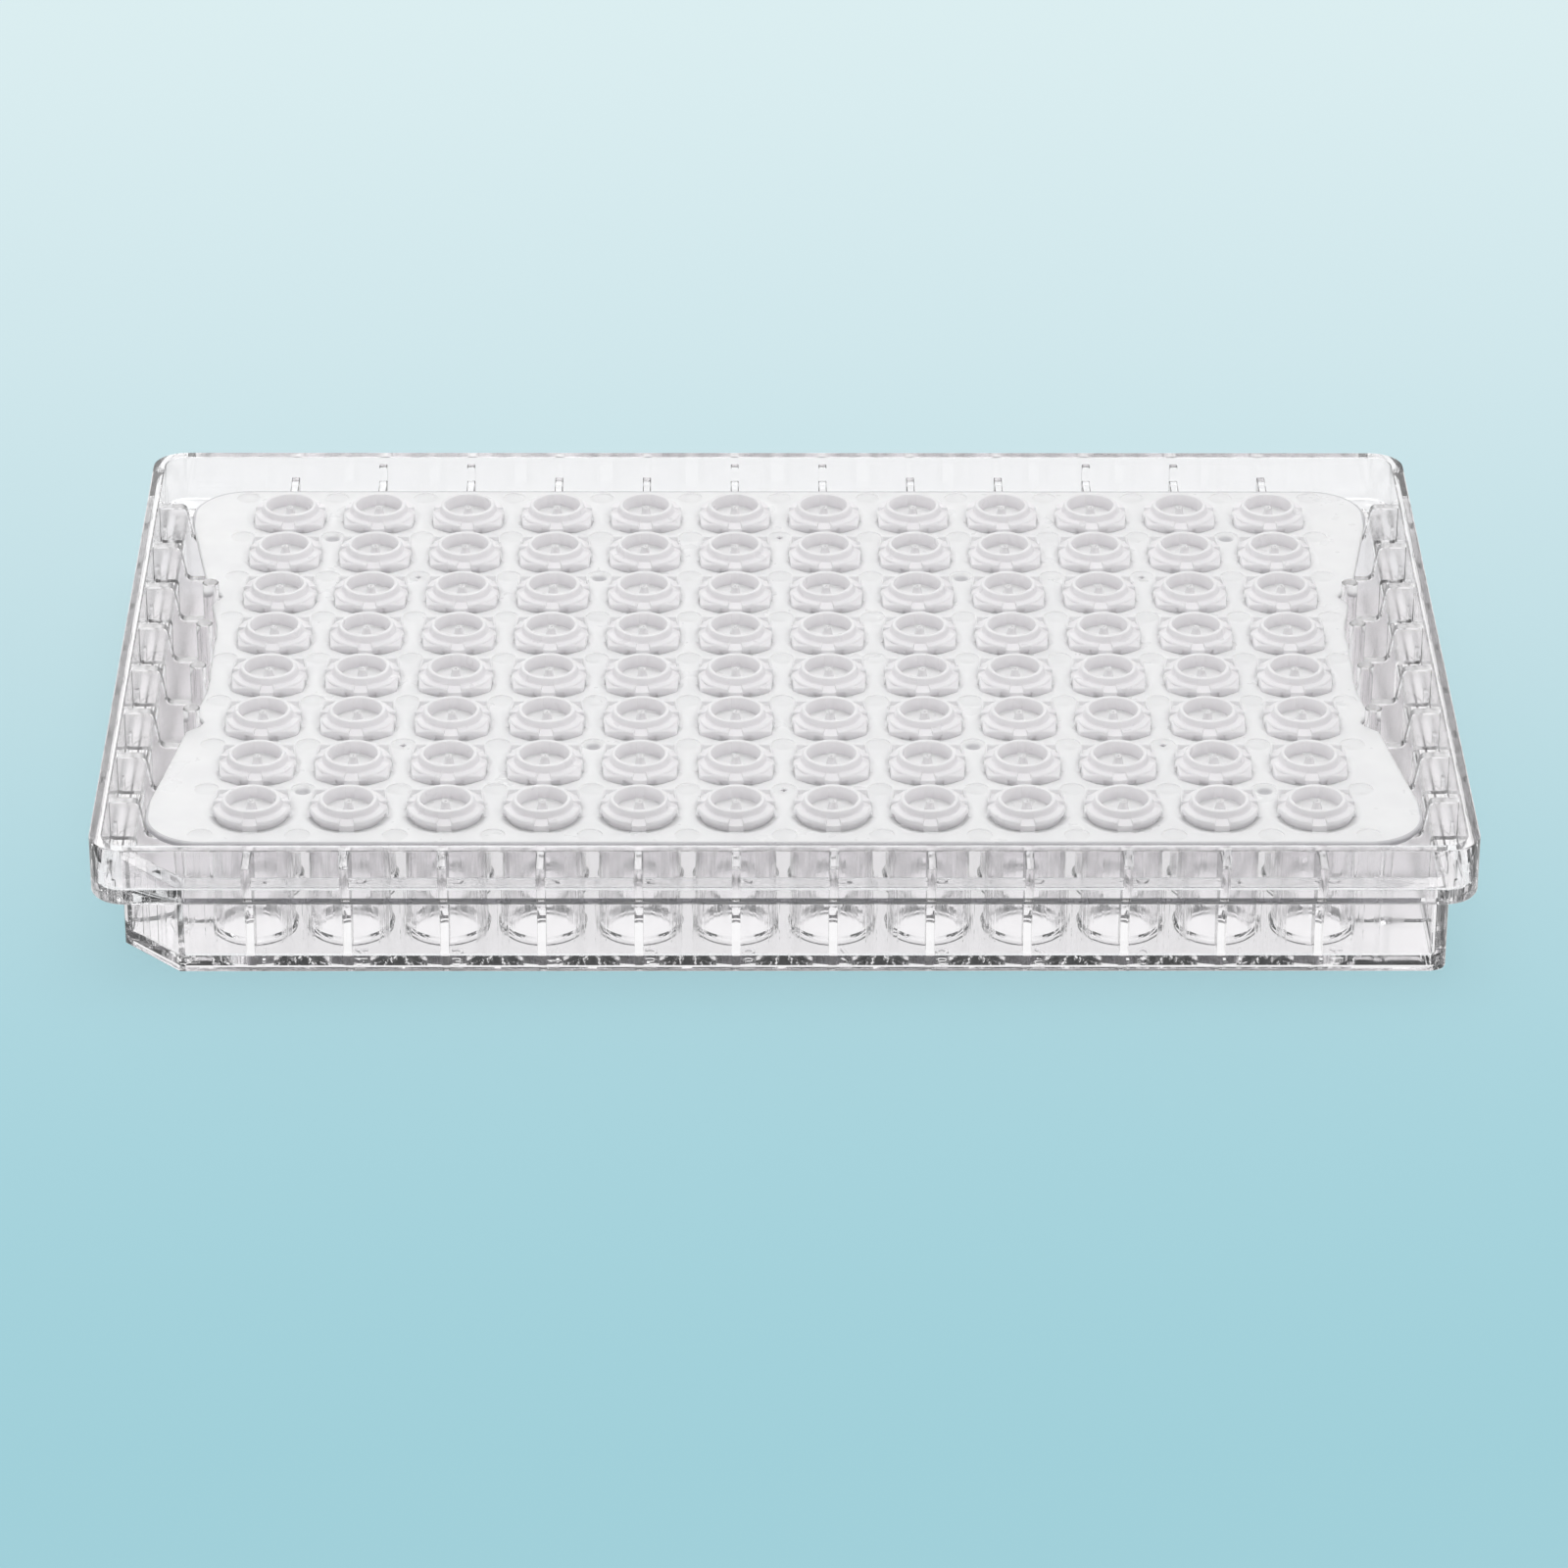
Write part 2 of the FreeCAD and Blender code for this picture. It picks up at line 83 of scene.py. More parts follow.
class Slot(Enum):
    """Material slots of the record."""

    BODY = "clear_polystyrene"
    MAT = "natural_polypropylene"


# ---------------------------------------------------------------- nodes and colours


def linear(hex_colour: str, alpha: float = 1.0) -> tuple[float, float, float, float]:
    """Turn an sRGB hex colour into linear values.

    Args:
        hex_colour: six hex digits after a hash sign.
        alpha: the fourth value.

    Returns:
        Linear red, green, blue and alpha.
    """
    channels = [int(hex_colour[i:i + 2], 16) / 255 for i in (1, 3, 5)]
    red, green, blue = (c / 12.92 if c <= 0.04045 else ((c + 0.055) / 1.055) ** 2.4 for c in channels)
    return red, green, blue, alpha


def add_node(tree: Tree, kind: str, inputs: dict | None = None, **settings) -> Node:
    """Add a node with its settings and its inputs.

    Args:
        tree: the tree that gets the node.
        kind: the node's type.
        inputs: input name or number to a plain value, an output socket, or a list of output sockets.
        settings: attributes of the node itself.

    Returns:
        The new node.
    """
    node = tree.nodes.new(kind)
    for name, setting in settings.items():
        setattr(node, name, setting)
    for name, value in (inputs or {}).items():
        if isinstance(value, Socket):
            tree.links.new(value, node.inputs[name])
        elif isinstance(value, list):
            for socket in value:
                tree.links.new(socket, node.inputs[name])
        else:
            node.inputs[name].default_value = value
    return node


def new_material(name: str) -> tuple[Material, Tree]:
    """Return a new material and its empty tree."""
    material = bpy.data.materials.new(name)
    material.use_nodes = True
    material.node_tree.nodes.clear()
    return material, material.node_tree


def show(tree: Tree, inputs: dict) -> None:
    """Put a shader with its inputs on the surface."""
    shader = add_node(tree, "ShaderNodeBsdfPrincipled", inputs)
    add_node(tree, "ShaderNodeOutputMaterial", {"Surface": shader.outputs["BSDF"]})


def blotches(tree: Tree, size_mm: float, detail: float = 2.0, seed: float = 0.0) -> Socket:
    """Add soft noise on object coordinates.

    Args:
        tree: the material's tree.
        size_mm: real size of one blotch.
        detail: finer octaves.
        seed: shifts the pattern by this many steps.

    Returns:
        The noise value, about 0.5 on average.
    """
    place = add_node(tree, "ShaderNodeTexCoord")
    shifted = add_node(tree, "ShaderNodeVectorMath", {
        0: place.outputs["Object"], 1: (SEED_STEP * seed * size_mm * MM,) * 3})
    noise = add_node(tree, "ShaderNodeTexNoise", {
        "Vector": shifted.outputs[0], "Scale": 1 / (size_mm * MM), "Detail": detail})
    return noise.outputs["Fac"]


def remap(tree: Tree, value: Socket, low: float, high: float, to_low: float, to_high: float) -> Socket:
    """Map a value from one range to another and return the socket."""
    node = add_node(tree, "ShaderNodeMapRange", {
        "Value": value, "From Min": low, "From Max": high, "To Min": to_low, "To Max": to_high})
    return node.outputs["Result"]


def blend(tree: Tree, share: Socket, first: str | Socket, second: str | Socket) -> Socket:
    """Blend two colours by a share and return the socket."""
    pair = {number: linear(colour) if isinstance(colour, str) else colour
            for number, colour in ((6, first), (7, second))}
    return add_node(tree, "ShaderNodeMix", {0: share, **pair}, data_type="RGBA").outputs[2]


def calculate(tree: Tree, operation: str, first: object, *others: object) -> Socket:
    """Apply an operation to one value, or from left to right to several.

    Args:
        tree: the tree that gets the nodes.
        operation: the Math node's operation.
        first: a plain value or a socket.
        others: more of them.

    Returns:
        The result.
    """
    result = first
    for other in others or (0.0,):
        result = add_node(tree, "ShaderNodeMath", {0: result, 1: other}, operation=operation).outputs[0]
    return result


def whereabouts(tree: Tree, output: str = "Object") -> dict[str, Socket]:
    """Return X, Y and Z of a texture coordinate, in metres or as a share."""
    place = add_node(tree, "ShaderNodeTexCoord")
    parts = add_node(tree, "ShaderNodeSeparateXYZ", {"Vector": place.outputs[output]})
    return {axis: parts.outputs[axis] for axis in "XYZ"}


def apart(tree: Tree, output: str = "Object") -> dict[str, Socket]:
    """Return how far a texture coordinate is from 0 along X, Y and Z."""
    return {axis: calculate(tree, "ABSOLUTE", value) for axis, value in whereabouts(tree, output).items()}


def length(tree: Tree, parts: dict[str, Socket]) -> Socket:
    """Return the length of a vector from its parts."""
    vector = add_node(tree, "ShaderNodeCombineXYZ", parts)
    return add_node(tree, "ShaderNodeVectorMath", {0: vector.outputs[0]}, operation="LENGTH").outputs["Value"]


def layered(tree: Tree, share: Socket, first: Node, second: Node) -> Node:
    """Mix two shaders by a share and return the node."""
    return add_node(tree, "ShaderNodeMixShader", {0: share, 1: first.outputs[0], 2: second.outputs[0]})


def past(tree: Tree, value: Socket, edge_mm: float, soft_mm: float = 0.2) -> Socket:
    """Return 1 where a value lies past an edge and 0 before it, soft over a few tenths of a millimetre."""
    return remap(tree, value, (edge_mm - soft_mm) * MM, edge_mm * MM, 0.0, 1.0)


def relief(tree: Tree, height: Socket, height_mm: float, strength: float = 1.0) -> Socket:
    """Return the normal of a fine relief, whose height from 0 to 1 stands for a real one."""
    return add_node(tree, "ShaderNodeBump", {
        "Height": height, "Distance": height_mm * MM, "Strength": strength}).outputs["Normal"]


@dataclass(frozen=True)
class ClearPolystyrene:
    """Crystal polystyrene from a polished mould: water clear, glossy, strongly refracting edges."""

    name: str = "clear_polystyrene"
    tint: str = "#FDFCFD"
    clarity: float = 0.985
    ior: float = 1.59
    smooth: float = 0.01
    scuffed: float = 0.07
    scuff_mm: float = 5.0
    scuff_range: Pair = (0.45, 0.75)
    flow_mm: float = 7.0
    flow_height_mm: float = 0.012
    satin: float = 0.17
    facing: Pair = (0.7, 0.9)
    tubes_end: Pair = (53.6, 35.6)
    walls_start: Pair = (60.1, 38.5)
    post_reach: float = 1.1
    pitch: float = 9.0
    tube_skin: Pair = (3.6, 4.1)
    skin_soft: float = 0.05
    tube_heights: Pair = (1.7, 11.4)
    streak_mm: float = 0.5
    streak_stretch: float = 0.04
    streak_range: Pair = (0.38, 0.62)
    drawn_rough: Pair = (0.03, 0.2)
    drawn_height: float = 3.0

    def satin_faces(self, tree: Tree) -> Socket:
        """Return 1 where the mould leaves the plastic satin, and 0 elsewhere.

        Args:
            tree: the material's tree.

        Returns:
            The share: the big faces of webs and ribs, and the posts above the deck.
        """
        place, normal = apart(tree), apart(tree, "Normal")
        masks = []
        for along, across in ("XY", "YX"):
            index = "XY".index(along)
            outside = past(tree, place[along], self.tubes_end[index])
            beside = calculate(tree, "SUBTRACT", 1.0, past(tree, place[across], self.walls_start[1 - index]))
            facing = remap(tree, normal[across], *self.facing, 0.0, 1.0)
            masks.append(calculate(tree, "MULTIPLY", outside, beside, facing))
        off_post = calculate(tree, "ABSOLUTE", calculate(tree, "SUBTRACT", place["X"], POST_X * MM))
        off_row = calculate(tree, "ABSOLUTE", self.from_well(tree)["Y"])
        off = calculate(tree, "MAXIMUM", off_post, off_row)
        posts = calculate(tree, "SUBTRACT", past(tree, place["Z"], self.tube_heights[0]),
                          past(tree, off, self.post_reach))
        return calculate(tree, "MAXIMUM", *masks, posts)

    def from_well(self, tree: Tree) -> dict[str, Socket]:
        """Return how far off along X and Y the nearest well's axis is."""
        place, off = whereabouts(tree), {}
        for axis in "XY":
            cell = calculate(tree, "FRACT", calculate(tree, "DIVIDE", place[axis], self.pitch * MM))
            off[axis] = calculate(tree, "MULTIPLY", calculate(tree, "SUBTRACT", cell, 0.5), self.pitch * MM)
        return off

    def streaks(self, tree: Tree) -> tuple[Socket, Socket]:
        """Return the upright streaks that the mould draws on the tubes' outside.

        Args:
            tree: the material's tree.

        Returns:
            Their roughness and their height, both 0 elsewhere.
        """
        place = add_node(tree, "ShaderNodeTexCoord")
        radius, height = length(tree, self.from_well(tree)), apart(tree)["Z"]
        skin = calculate(tree, "SUBTRACT", *(
            past(tree, radius, edge, self.skin_soft) for edge in self.tube_skin))
        span = calculate(tree, "SUBTRACT", *(past(tree, height, edge) for edge in self.tube_heights))
        drawn = add_node(tree, "ShaderNodeVectorMath", {
            0: place.outputs["Object"], 1: (1.0, 1.0, self.streak_stretch)}, operation="MULTIPLY")
        grain = add_node(tree, "ShaderNodeTexNoise", {
            "Vector": drawn.outputs[0], "Scale": 1 / (self.streak_mm * MM), "Detail": 3.0}).outputs["Fac"]
        rough = remap(tree, grain, *self.streak_range, *self.drawn_rough)
        tubes = calculate(tree, "MULTIPLY", skin, span)
        return (calculate(tree, "MULTIPLY", tubes, rough),
                calculate(tree, "MULTIPLY", tubes, grain, self.drawn_height))

    def material(self) -> Material:
        """Return the material: faint scuffs, satin webs, drawn tubes and the slow waves of a moulded face."""
        material, tree = new_material(self.name)
        scuffs = remap(tree, blotches(tree, self.scuff_mm, 3.0), *self.scuff_range, self.smooth, self.scuffed)
        satin = calculate(tree, "MULTIPLY", self.satin_faces(tree), self.satin)
        drawn_rough, drawn_height = self.streaks(tree)
        waves = calculate(tree, "ADD", blotches(tree, self.flow_mm, 1.0, 3.0), drawn_height)
        show(tree, {
            "Base Color": linear(self.tint), "Transmission Weight": self.clarity, "IOR": self.ior,
            "Roughness": calculate(tree, "MAXIMUM", scuffs, satin, drawn_rough),
            "Normal": relief(tree, waves, self.flow_height_mm)})
        return material


@dataclass(frozen=True)
class NaturalPolypropylene:
    """Unpigmented polypropylene, thin walled: milky, light passes through it, satin from the mould."""

    name: str = "natural_polypropylene"
    pale: str = "#F8F9F9"
    cloudy: str = "#F0F0F1"
    # painted shade: the raised cups are coloured greyer than the sheet, standing in for their shading
    raised_cup_shade: str = "#F0EEF0"
    # painted shade: upright walls are coloured greyer, where less light falls on them
    steep_wall_shade: str = "#EDEBED"
    # painted shade: the grey line along the sheet's outer edge
    drawn: str = "#C9C8CB"
    # painted shade: grey in the deep dimples, the square nicks and on the sheet's underside
    recess_and_underside_shade: str = "#C4C3C7"
    # painted light: the cup floors are pure white, as if lit through from below
    painted_floor_light: str = "#FFFFFF"
    cup_height: float = 12.72
    shade_below: float = 12.16
    floor_heights: Pair = (12.46, 12.6)
    crisp: float = 0.02
    soft: float = 0.1
    steepness: Pair = (0.25, 0.9)
    outline: Pair = (59.4, 37.7)
    corner: float = 5.5
    edge_shade_width: float = 0.3
    cloud_mm: float = 6.0
    cloud_range: Pair = (0.35, 0.68)
    sheen_mm: float = 3.0
    sheen_range: Pair = (0.3, 0.7)
    satin: Pair = (0.26, 0.42)
    ior: float = 1.49
    grain_mm: float = 0.35
    grain_height_mm: float = 0.006
    glow_mm: float = 1.2
    glow: tuple[float, float, float] = (1.0, 0.98, 0.985)

    def painted_edge_shade(self, tree: Tree) -> Socket:
        """Return 1 in a narrow band along the sheet's outer edge, where a grey line of painted shade goes,
        and 0 elsewhere.
        """
        place = apart(tree)
        straight = {axis: (half - self.corner) * MM for axis, half in zip("XY", self.outline)}
        beyond = {axis: calculate(tree, "MAXIMUM", calculate(tree, "SUBTRACT", place[axis], straight[axis]))
                  for axis in "XY"}
        return past(tree, length(tree, beyond), self.corner - self.edge_shade_width, self.soft)

    def colour(self, tree: Tree) -> Socket:
        """Return the colour: milky clouds, painted shade on the raised cups, upright walls, edge line,
        dimples and underside, and painted light on the cup floors.
        """
        clouds = remap(tree, blotches(tree, self.cloud_mm, 4.0, 1.0), *self.cloud_range, 0.0, 1.0)
        height, level = apart(tree)["Z"], apart(tree, "Normal")["Z"]
        # painted light on the cup floors, a band of heights
        lit_floors = calculate(tree, "SUBTRACT", *(
            past(tree, height, edge, self.crisp) for edge in self.floor_heights))
        colour = blend(tree, lit_floors, blend(tree, clouds, self.pale, self.cloudy), self.painted_floor_light)
        # painted shade: a greyer colour on the raised cups above a height
        colour = blend(tree, past(tree, height, self.cup_height, self.soft), colour, self.raised_cup_shade)
        # painted shade on upright walls, chosen by how far the normal leans from up
        colour = blend(tree, remap(tree, level, *self.steepness, 0.0, 1.0), self.steep_wall_shade, colour)
        # painted shade: a grey line along the sheet's outer edge
        colour = blend(tree, self.painted_edge_shade(tree), colour, self.drawn)
        # painted shade: grey below a height, in the dimples, the nicks and on the underside
        return blend(tree, past(tree, height, self.shade_below), self.recess_and_underside_shade, colour)

    def material(self) -> Material:
        """Return the material: light wanders inside it, over a fine mould grain."""
        material, tree = new_material(self.name)
        show(tree, {
            "Base Color": self.colour(tree), "Subsurface Weight": 1.0, "Subsurface Radius": self.glow,
            "Subsurface Scale": self.glow_mm * MM, "IOR": self.ior,
            "Roughness": remap(tree, blotches(tree, self.sheen_mm, 3.0, 5.0), *self.sheen_range, *self.satin),
            "Normal": relief(tree, blotches(tree, self.grain_mm, 3.0, 2.0), self.grain_height_mm)})
        return material


@dataclass(frozen=True)
class FilterMembrane:
    """Cast filter membrane: dead matt white with a fine fibrous grain."""

    name: str = "filter_membrane"
    white: str = "#F2F2F0"
    shade: str = "#E6E6E3"
    rough: float = 0.85
    pore_mm: float = 0.12
    pore_height_mm: float = 0.02
    relief_share: float = 0.6

    def material(self) -> Material:
        """Return the material."""
        material, tree = new_material(self.name)
        pores = blotches(tree, self.pore_mm, 4.0)
        show(tree, {
            "Base Color": blend(tree, pores, self.white, self.shade), "Roughness": self.rough,
            "Normal": relief(tree, pores, self.pore_height_mm, self.relief_share)})
        return material


# ---------------------------------------------------------------- mesh building


def hang(thing: Thing) -> None:
    """Put a new object into the scene."""
    bpy.context.scene.collection.objects.link(thing)


@dataclass
class Shape:
    """Corners in millimetres and faces of a mesh in the making."""

    points: list[Point] = field(default_factory=list)
    faces: list[Face] = field(default_factory=list)

    def add(self, points: Sequence[Point], faces: Sequence[Face]) -> None:
        """Append corners and the faces that use them."""
        start = len(self.points)
        self.points.extend(points)
        self.faces.extend(tuple(start + corner for corner in face) for face in faces)

    def add_shape(self, other: "Shape", change: Callable[[Point], Point] = lambda p: p) -> None:
        """Append another shape.

        Args:
            other: the shape to copy.
            change: moves or turns each corner, and doesn't mirror.
        """
        self.add([change(point) for point in other.points], other.faces)

    def object(self, name: str) -> Thing:
        """Return the shape as an object in metres, at the origin."""
        mesh = bpy.data.meshes.new(name)
        mesh.from_pydata([tuple(MM * value for value in point) for point in self.points], [], self.faces)
        mesh.validate()
        thing = bpy.data.objects.new(name, mesh)
        hang(thing)
        return thing


def loft(loops: Sequence[Sequence[Point]], cap_first: bool = True, cap_last: bool = True) -> Shape:
    """Join closed loops of equal count into a skin.

    Args:
        loops: each loop runs anticlockwise seen from outside the first cap's far side.
        cap_first: close the first loop with one face.
        cap_last: close the last loop with one face.

    Returns:
        The skin.
    """
    count = len(loops[0])
    faces: list[Face] = []
    for level in range(len(loops) - 1):
        low, high = level * count, (level + 1) * count
        for i in range(count):
            after = (i + 1) % count
            faces.append((low + i, low + after, high + after, high + i))
    if cap_first:
        faces.append(tuple(reversed(range(count))))
    if cap_last:
        faces.append(tuple((len(loops) - 1) * count + i for i in range(count)))
    return Shape([point for loop in loops for point in loop], faces)


def circle(radius: float, height: float, count: int, x: float = 0.0, y: float = 0.0) -> list[Point]:
    """Return a level ring of points, anticlockwise seen from above."""
    angles = [2 * math.pi * i / count for i in range(count)]
    return [(x + radius * math.cos(a), y + radius * math.sin(a), height) for a in angles]


def turned(profile: Sequence[Pair], count: int, x: float = 0.0, y: float = 0.0) -> Shape:
    """Turn a profile about an upright axis.

    Args:
        profile: radius and height of each ring, from the bottom cap to the top cap.
        count: sides of the turned piece.
        x: place of the axis.
        y: place of the axis.

    Returns:
        A closed shape with flat caps.
    """
    return loft([circle(radius, height, count, x, y) for radius, height in profile])


def prism(outline: Sequence[Pair], thickness: float, edge: float,
          place: Callable[[float, float, float], Point]) -> Shape:
    """Make a plate with softened edges from an outline.

    Args:
        outline: corners of the plate, anticlockwise.
        thickness: thickness of the plate.
        edge: how far the softened edge reaches in.
        place: turns first, second and thickness coordinates into a point, without mirroring.

    Returns:
        The closed plate, centred on its thickness.
    """
    inner = inset(outline, edge)
    half = thickness / 2
    loops = [[place(a, b, depth) for a, b in line] for line, depth in
             ((inner, -half), (outline, -half + edge), (outline, half - edge), (inner, half))]
    return loft(loops)


def inset(outline: Sequence[Pair], distance: float) -> list[Pair]:
    """Return an outline moved inwards at every corner; outlines run anticlockwise."""
    moved = []
    for i, here in enumerate(outline):
        before, after = Vector(outline[i - 1]), Vector(outline[(i + 1) % len(outline)])
        arriving, leaving = (Vector(here) - before).normalized(), (after - Vector(here)).normalized()
        normals = [Vector((-run.y, run.x)) for run in (arriving, leaving)]
        middle = (normals[0] + normals[1]).normalized()
        moved.append(tuple(Vector(here) + middle * distance / max(middle.dot(normals[0]), SHARPEST)))
    return moved


def rounded(outline: Sequence[Pair], radii: Sequence[float], steps: int = 4) -> list[Pair]:
    """Round the corners of an outline.

    Args:
        outline: corners, in order.
        radii: one radius for each corner, 0 to keep it sharp.
        steps: segments of each arc.

    Returns:
        The outline with arcs in place of its corners.
    """
    result: list[Pair] = []
    for i, (corner, radius) in enumerate(zip(outline, radii)):
        here = Vector(corner)
        if radius == 0:
            result.append(tuple(here))
            continue
        back = (Vector(outline[i - 1]) - here).normalized()
        ahead = (Vector(outline[(i + 1) % len(outline)]) - here).normalized()
        half = back.angle(ahead) / 2
        middle = here + (back + ahead).normalized() * radius / math.sin(half)
        start = here + back * radius / math.tan(half) - middle
        end = here + ahead * radius / math.tan(half) - middle
        turn = start.angle_signed(end)
        for step in range(steps + 1):
            angle = -turn * step / steps
            spot = middle + Vector((start.x * math.cos(angle) - start.y * math.sin(angle),
                                    start.x * math.sin(angle) + start.y * math.cos(angle)))
            result.append(tuple(spot))
    return result


def soften(thing: Thing, gentle: float = 1.0, angle: float = 30.0) -> Thing:
    """Shade curved stretches smooth and keep true flats flat.

    Args:
        thing: the object.
        gentle: a flat keeps its edge to what bends away by more than this, in degrees.
        angle: edges sharper than this, in degrees, stay sharp.

    Returns:
        The same object.
    """
    surface = bmesh.new()
    surface.from_mesh(thing.data)
    bmesh.ops.dissolve_degenerate(surface, dist=WELD, edges=surface.edges)
    surface.normal_update()
    flats = {face: max(abs(value) for value in face.normal) > LEVEL for face in surface.faces}
    for face in surface.faces:
        face.smooth = True
    for edge in surface.edges:
        if not edge.is_manifold:
            continue
        first, second = edge.link_faces
        bend = math.degrees(first.normal.angle(second.normal, 0.0))
        edge.smooth = bend < angle and (bend < gentle or flats[first] == flats[second])
    surface.to_mesh(thing.data)
    surface.free()
    return thing


def bake_modifiers(thing: Thing) -> None:
    """Turn what the modifiers make into the object's plain mesh and remove them."""
    evaluated = thing.evaluated_get(bpy.context.evaluated_depsgraph_get())
    mesh = bpy.data.meshes.new_from_object(evaluated, preserve_all_data_layers=True,
                                           depsgraph=bpy.context.evaluated_depsgraph_get())
    thing.modifiers.clear()
    mesh.name = thing.name
    thing.data = mesh


def dress(thing: Thing, material: Material, slot: Slot, *nodes: str) -> Thing:
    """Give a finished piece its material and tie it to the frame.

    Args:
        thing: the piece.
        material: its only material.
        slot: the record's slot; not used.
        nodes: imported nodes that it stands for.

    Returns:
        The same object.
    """
    thing.data.materials.clear()
    thing.data.materials.append(material)
    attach(thing, "root")
    if nodes:
        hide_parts(*nodes)
    log.info("%s: %d faces", thing.name, len(thing.data.polygons))
    return thing


# ---------------------------------------------------------------- the well grid


@dataclass(frozen=True)
class WellGrid:
    """Places of the wells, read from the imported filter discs."""

    columns: int
    rows: int
    pitch: float

    @classmethod
    def from_frame(cls) -> "WellGrid":
        """Measure the grid on the first and last rows of discs."""
        rows = sum(name.startswith("membranes_row_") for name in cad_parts)
        low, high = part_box("membranes_row_a")
        last_low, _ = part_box(f"membranes_row_{chr(ord('a') + rows - 1)}")
        pitch = (last_low[1] - low[1]) / (rows - 1) / MM
        disc = (high[1] - low[1]) / MM
        columns = round(((high[0] - low[0]) / MM - disc) / pitch) + 1
        return cls(columns, rows, round(pitch, 4))

    @property
    def first_x(self) -> float:
        """X of column 1."""
        return -(self.columns - 1) * self.pitch / 2

    @property
    def first_y(self) -> float:
        """Y of row A."""
        return -(self.rows - 1) * self.pitch / 2


# ---------------------------------------------------------------- repeats with Geometry Nodes


class Repeater:
    """A Geometry Nodes tree that repeats pieces on the well grid and joins them."""

    def __init__(self, name: str, grid: WellGrid) -> None:
        """Start a tree with a geometry input and output, and the grid's measures as inputs."""
        self.tree = bpy.data.node_groups.new(name, "GeometryNodeTree")
        self.values: dict[str, object] = {}
        self.helpers: list[Thing] = []
        self.add_socket("Geometry", "NodeSocketGeometry")
        self.tree.interface.new_socket(name="Geometry", in_out="OUTPUT", socket_type="NodeSocketGeometry")
        self.entry = self.tree.nodes.new("NodeGroupInput")
        self.exit = self.tree.nodes.new("NodeGroupOutput")
        self.columns = self.named("Columns", "NodeSocketInt", grid.columns)
        self.rows = self.named("Rows", "NodeSocketInt", grid.rows)
        self.pitch = self.named("Pitch", "NodeSocketFloat", grid.pitch * MM)

    def add_socket(self, name: str, kind: str, value: object = None) -> None:
        """Add a named input; its value goes to the modifier."""
        socket = self.tree.interface.new_socket(name=name, in_out="INPUT", socket_type=kind)
        if value is not None:
            self.values[socket.identifier] = value

    def named(self, name: str, kind: str, value: object) -> Socket:
        """Add a named input and return its socket inside the tree."""
        self.add_socket(name, kind, value)
        return self.entry.outputs[name]

    def piece(self, thing: Thing) -> Socket:
        """Return the geometry of a helper object, which is removed once the tree has run."""
        self.helpers.append(thing)
        held = self.named(thing.name, "NodeSocketObject", thing)
        return add_node(self.tree, "GeometryNodeObjectInfo", {"Object": held}).outputs["Geometry"]

    def math(self, operation: str, first: object, second: object) -> Socket:
        """Return the result of an operation on two values."""
        return calculate(self.tree, operation, first, second)

    def span(self, count: object, step: object) -> Socket:
        """Return the distance from the first to the last of a row, in metres."""
        return self.math("MULTIPLY", self.math("SUBTRACT", count, 1.0), step)

    def row(self, piece: Socket, count: object, step: object, axis: str = "X") -> Socket:
        """Repeat a piece along a line centred on the origin.

        Args:
            piece: the geometry to repeat.
            count: how many.
            step: distance between two, in metres.
            axis: X or Y, which way the line runs.

        Returns:
            The copies.
        """
        back = self.math("MULTIPLY", self.span(count, step), -0.5)
        start = add_node(self.tree, "ShaderNodeCombineXYZ", {axis: back})
        offset = add_node(self.tree, "ShaderNodeCombineXYZ", {axis: step})
        line = add_node(self.tree, "GeometryNodeMeshLine", {
            "Count": count, "Start Location": start.outputs[0], "Offset": offset.outputs[0]})
        return self.on_points(piece, line.outputs["Mesh"])

    def on_grid(self, piece: Socket, more: Pair = (0.0, 0.0), shift: float = 0.0) -> Socket:
        """Repeat a piece on the wells' grid.

        Args:
            piece: the geometry to repeat.
            more: how many columns and rows there are beyond the wells'.
            shift: how far the grid moves along Y, in pitches.

        Returns:
            The copies.
        """
        columns, rows = self.math("ADD", self.columns, more[0]), self.math("ADD", self.rows, more[1])
        points = add_node(self.tree, "GeometryNodeMeshGrid", {
            "Size X": self.span(columns, self.pitch), "Size Y": self.span(rows, self.pitch),
            "Vertices X": columns, "Vertices Y": rows})
        place = add_node(self.tree, "ShaderNodeCombineXYZ", {"Y": self.math("MULTIPLY", self.pitch, shift)})
        moved = add_node(self.tree, "GeometryNodeTransform", {
            "Geometry": points.outputs["Mesh"], "Translation": place.outputs[0]})
        return self.on_points(piece, moved.outputs[0])

    def on_points(self, piece: Socket, points: Socket) -> Socket:
        """Put a piece on every point and return real geometry."""
        placed = add_node(self.tree, "GeometryNodeInstanceOnPoints", {"Points": points, "Instance": piece})
        return add_node(self.tree, "GeometryNodeRealizeInstances", {0: placed.outputs[0]}).outputs[0]

    def boolean(self, operation: str, inputs: dict) -> Socket:
        """Return what a union or a difference of closed pieces leaves."""
        return add_node(self.tree, "GeometryNodeMeshBoolean", inputs, operation=operation,
                        solver="MANIFOLD").outputs["Mesh"]

    def union(self, *pieces: Socket) -> Socket:
        """Fuse closed pieces into one skin."""
        return self.boolean("UNION", {1: list(pieces)})

    def cut(self, base: Socket, tool: Socket) -> Socket:
        """Take a closed piece out of another."""
        return self.boolean("DIFFERENCE", {0: base, 1: tool})

    def welded(self, pieces: list[Socket], weld: float) -> Socket:
        """Put pieces into one geometry and weld corners nearer than a distance in metres."""
        node = add_node(self.tree, "GeometryNodeJoinGeometry", {0: pieces})
        return add_node(self.tree, "GeometryNodeMergeByDistance", {
            "Geometry": node.outputs[0], "Distance": weld}).outputs[0]

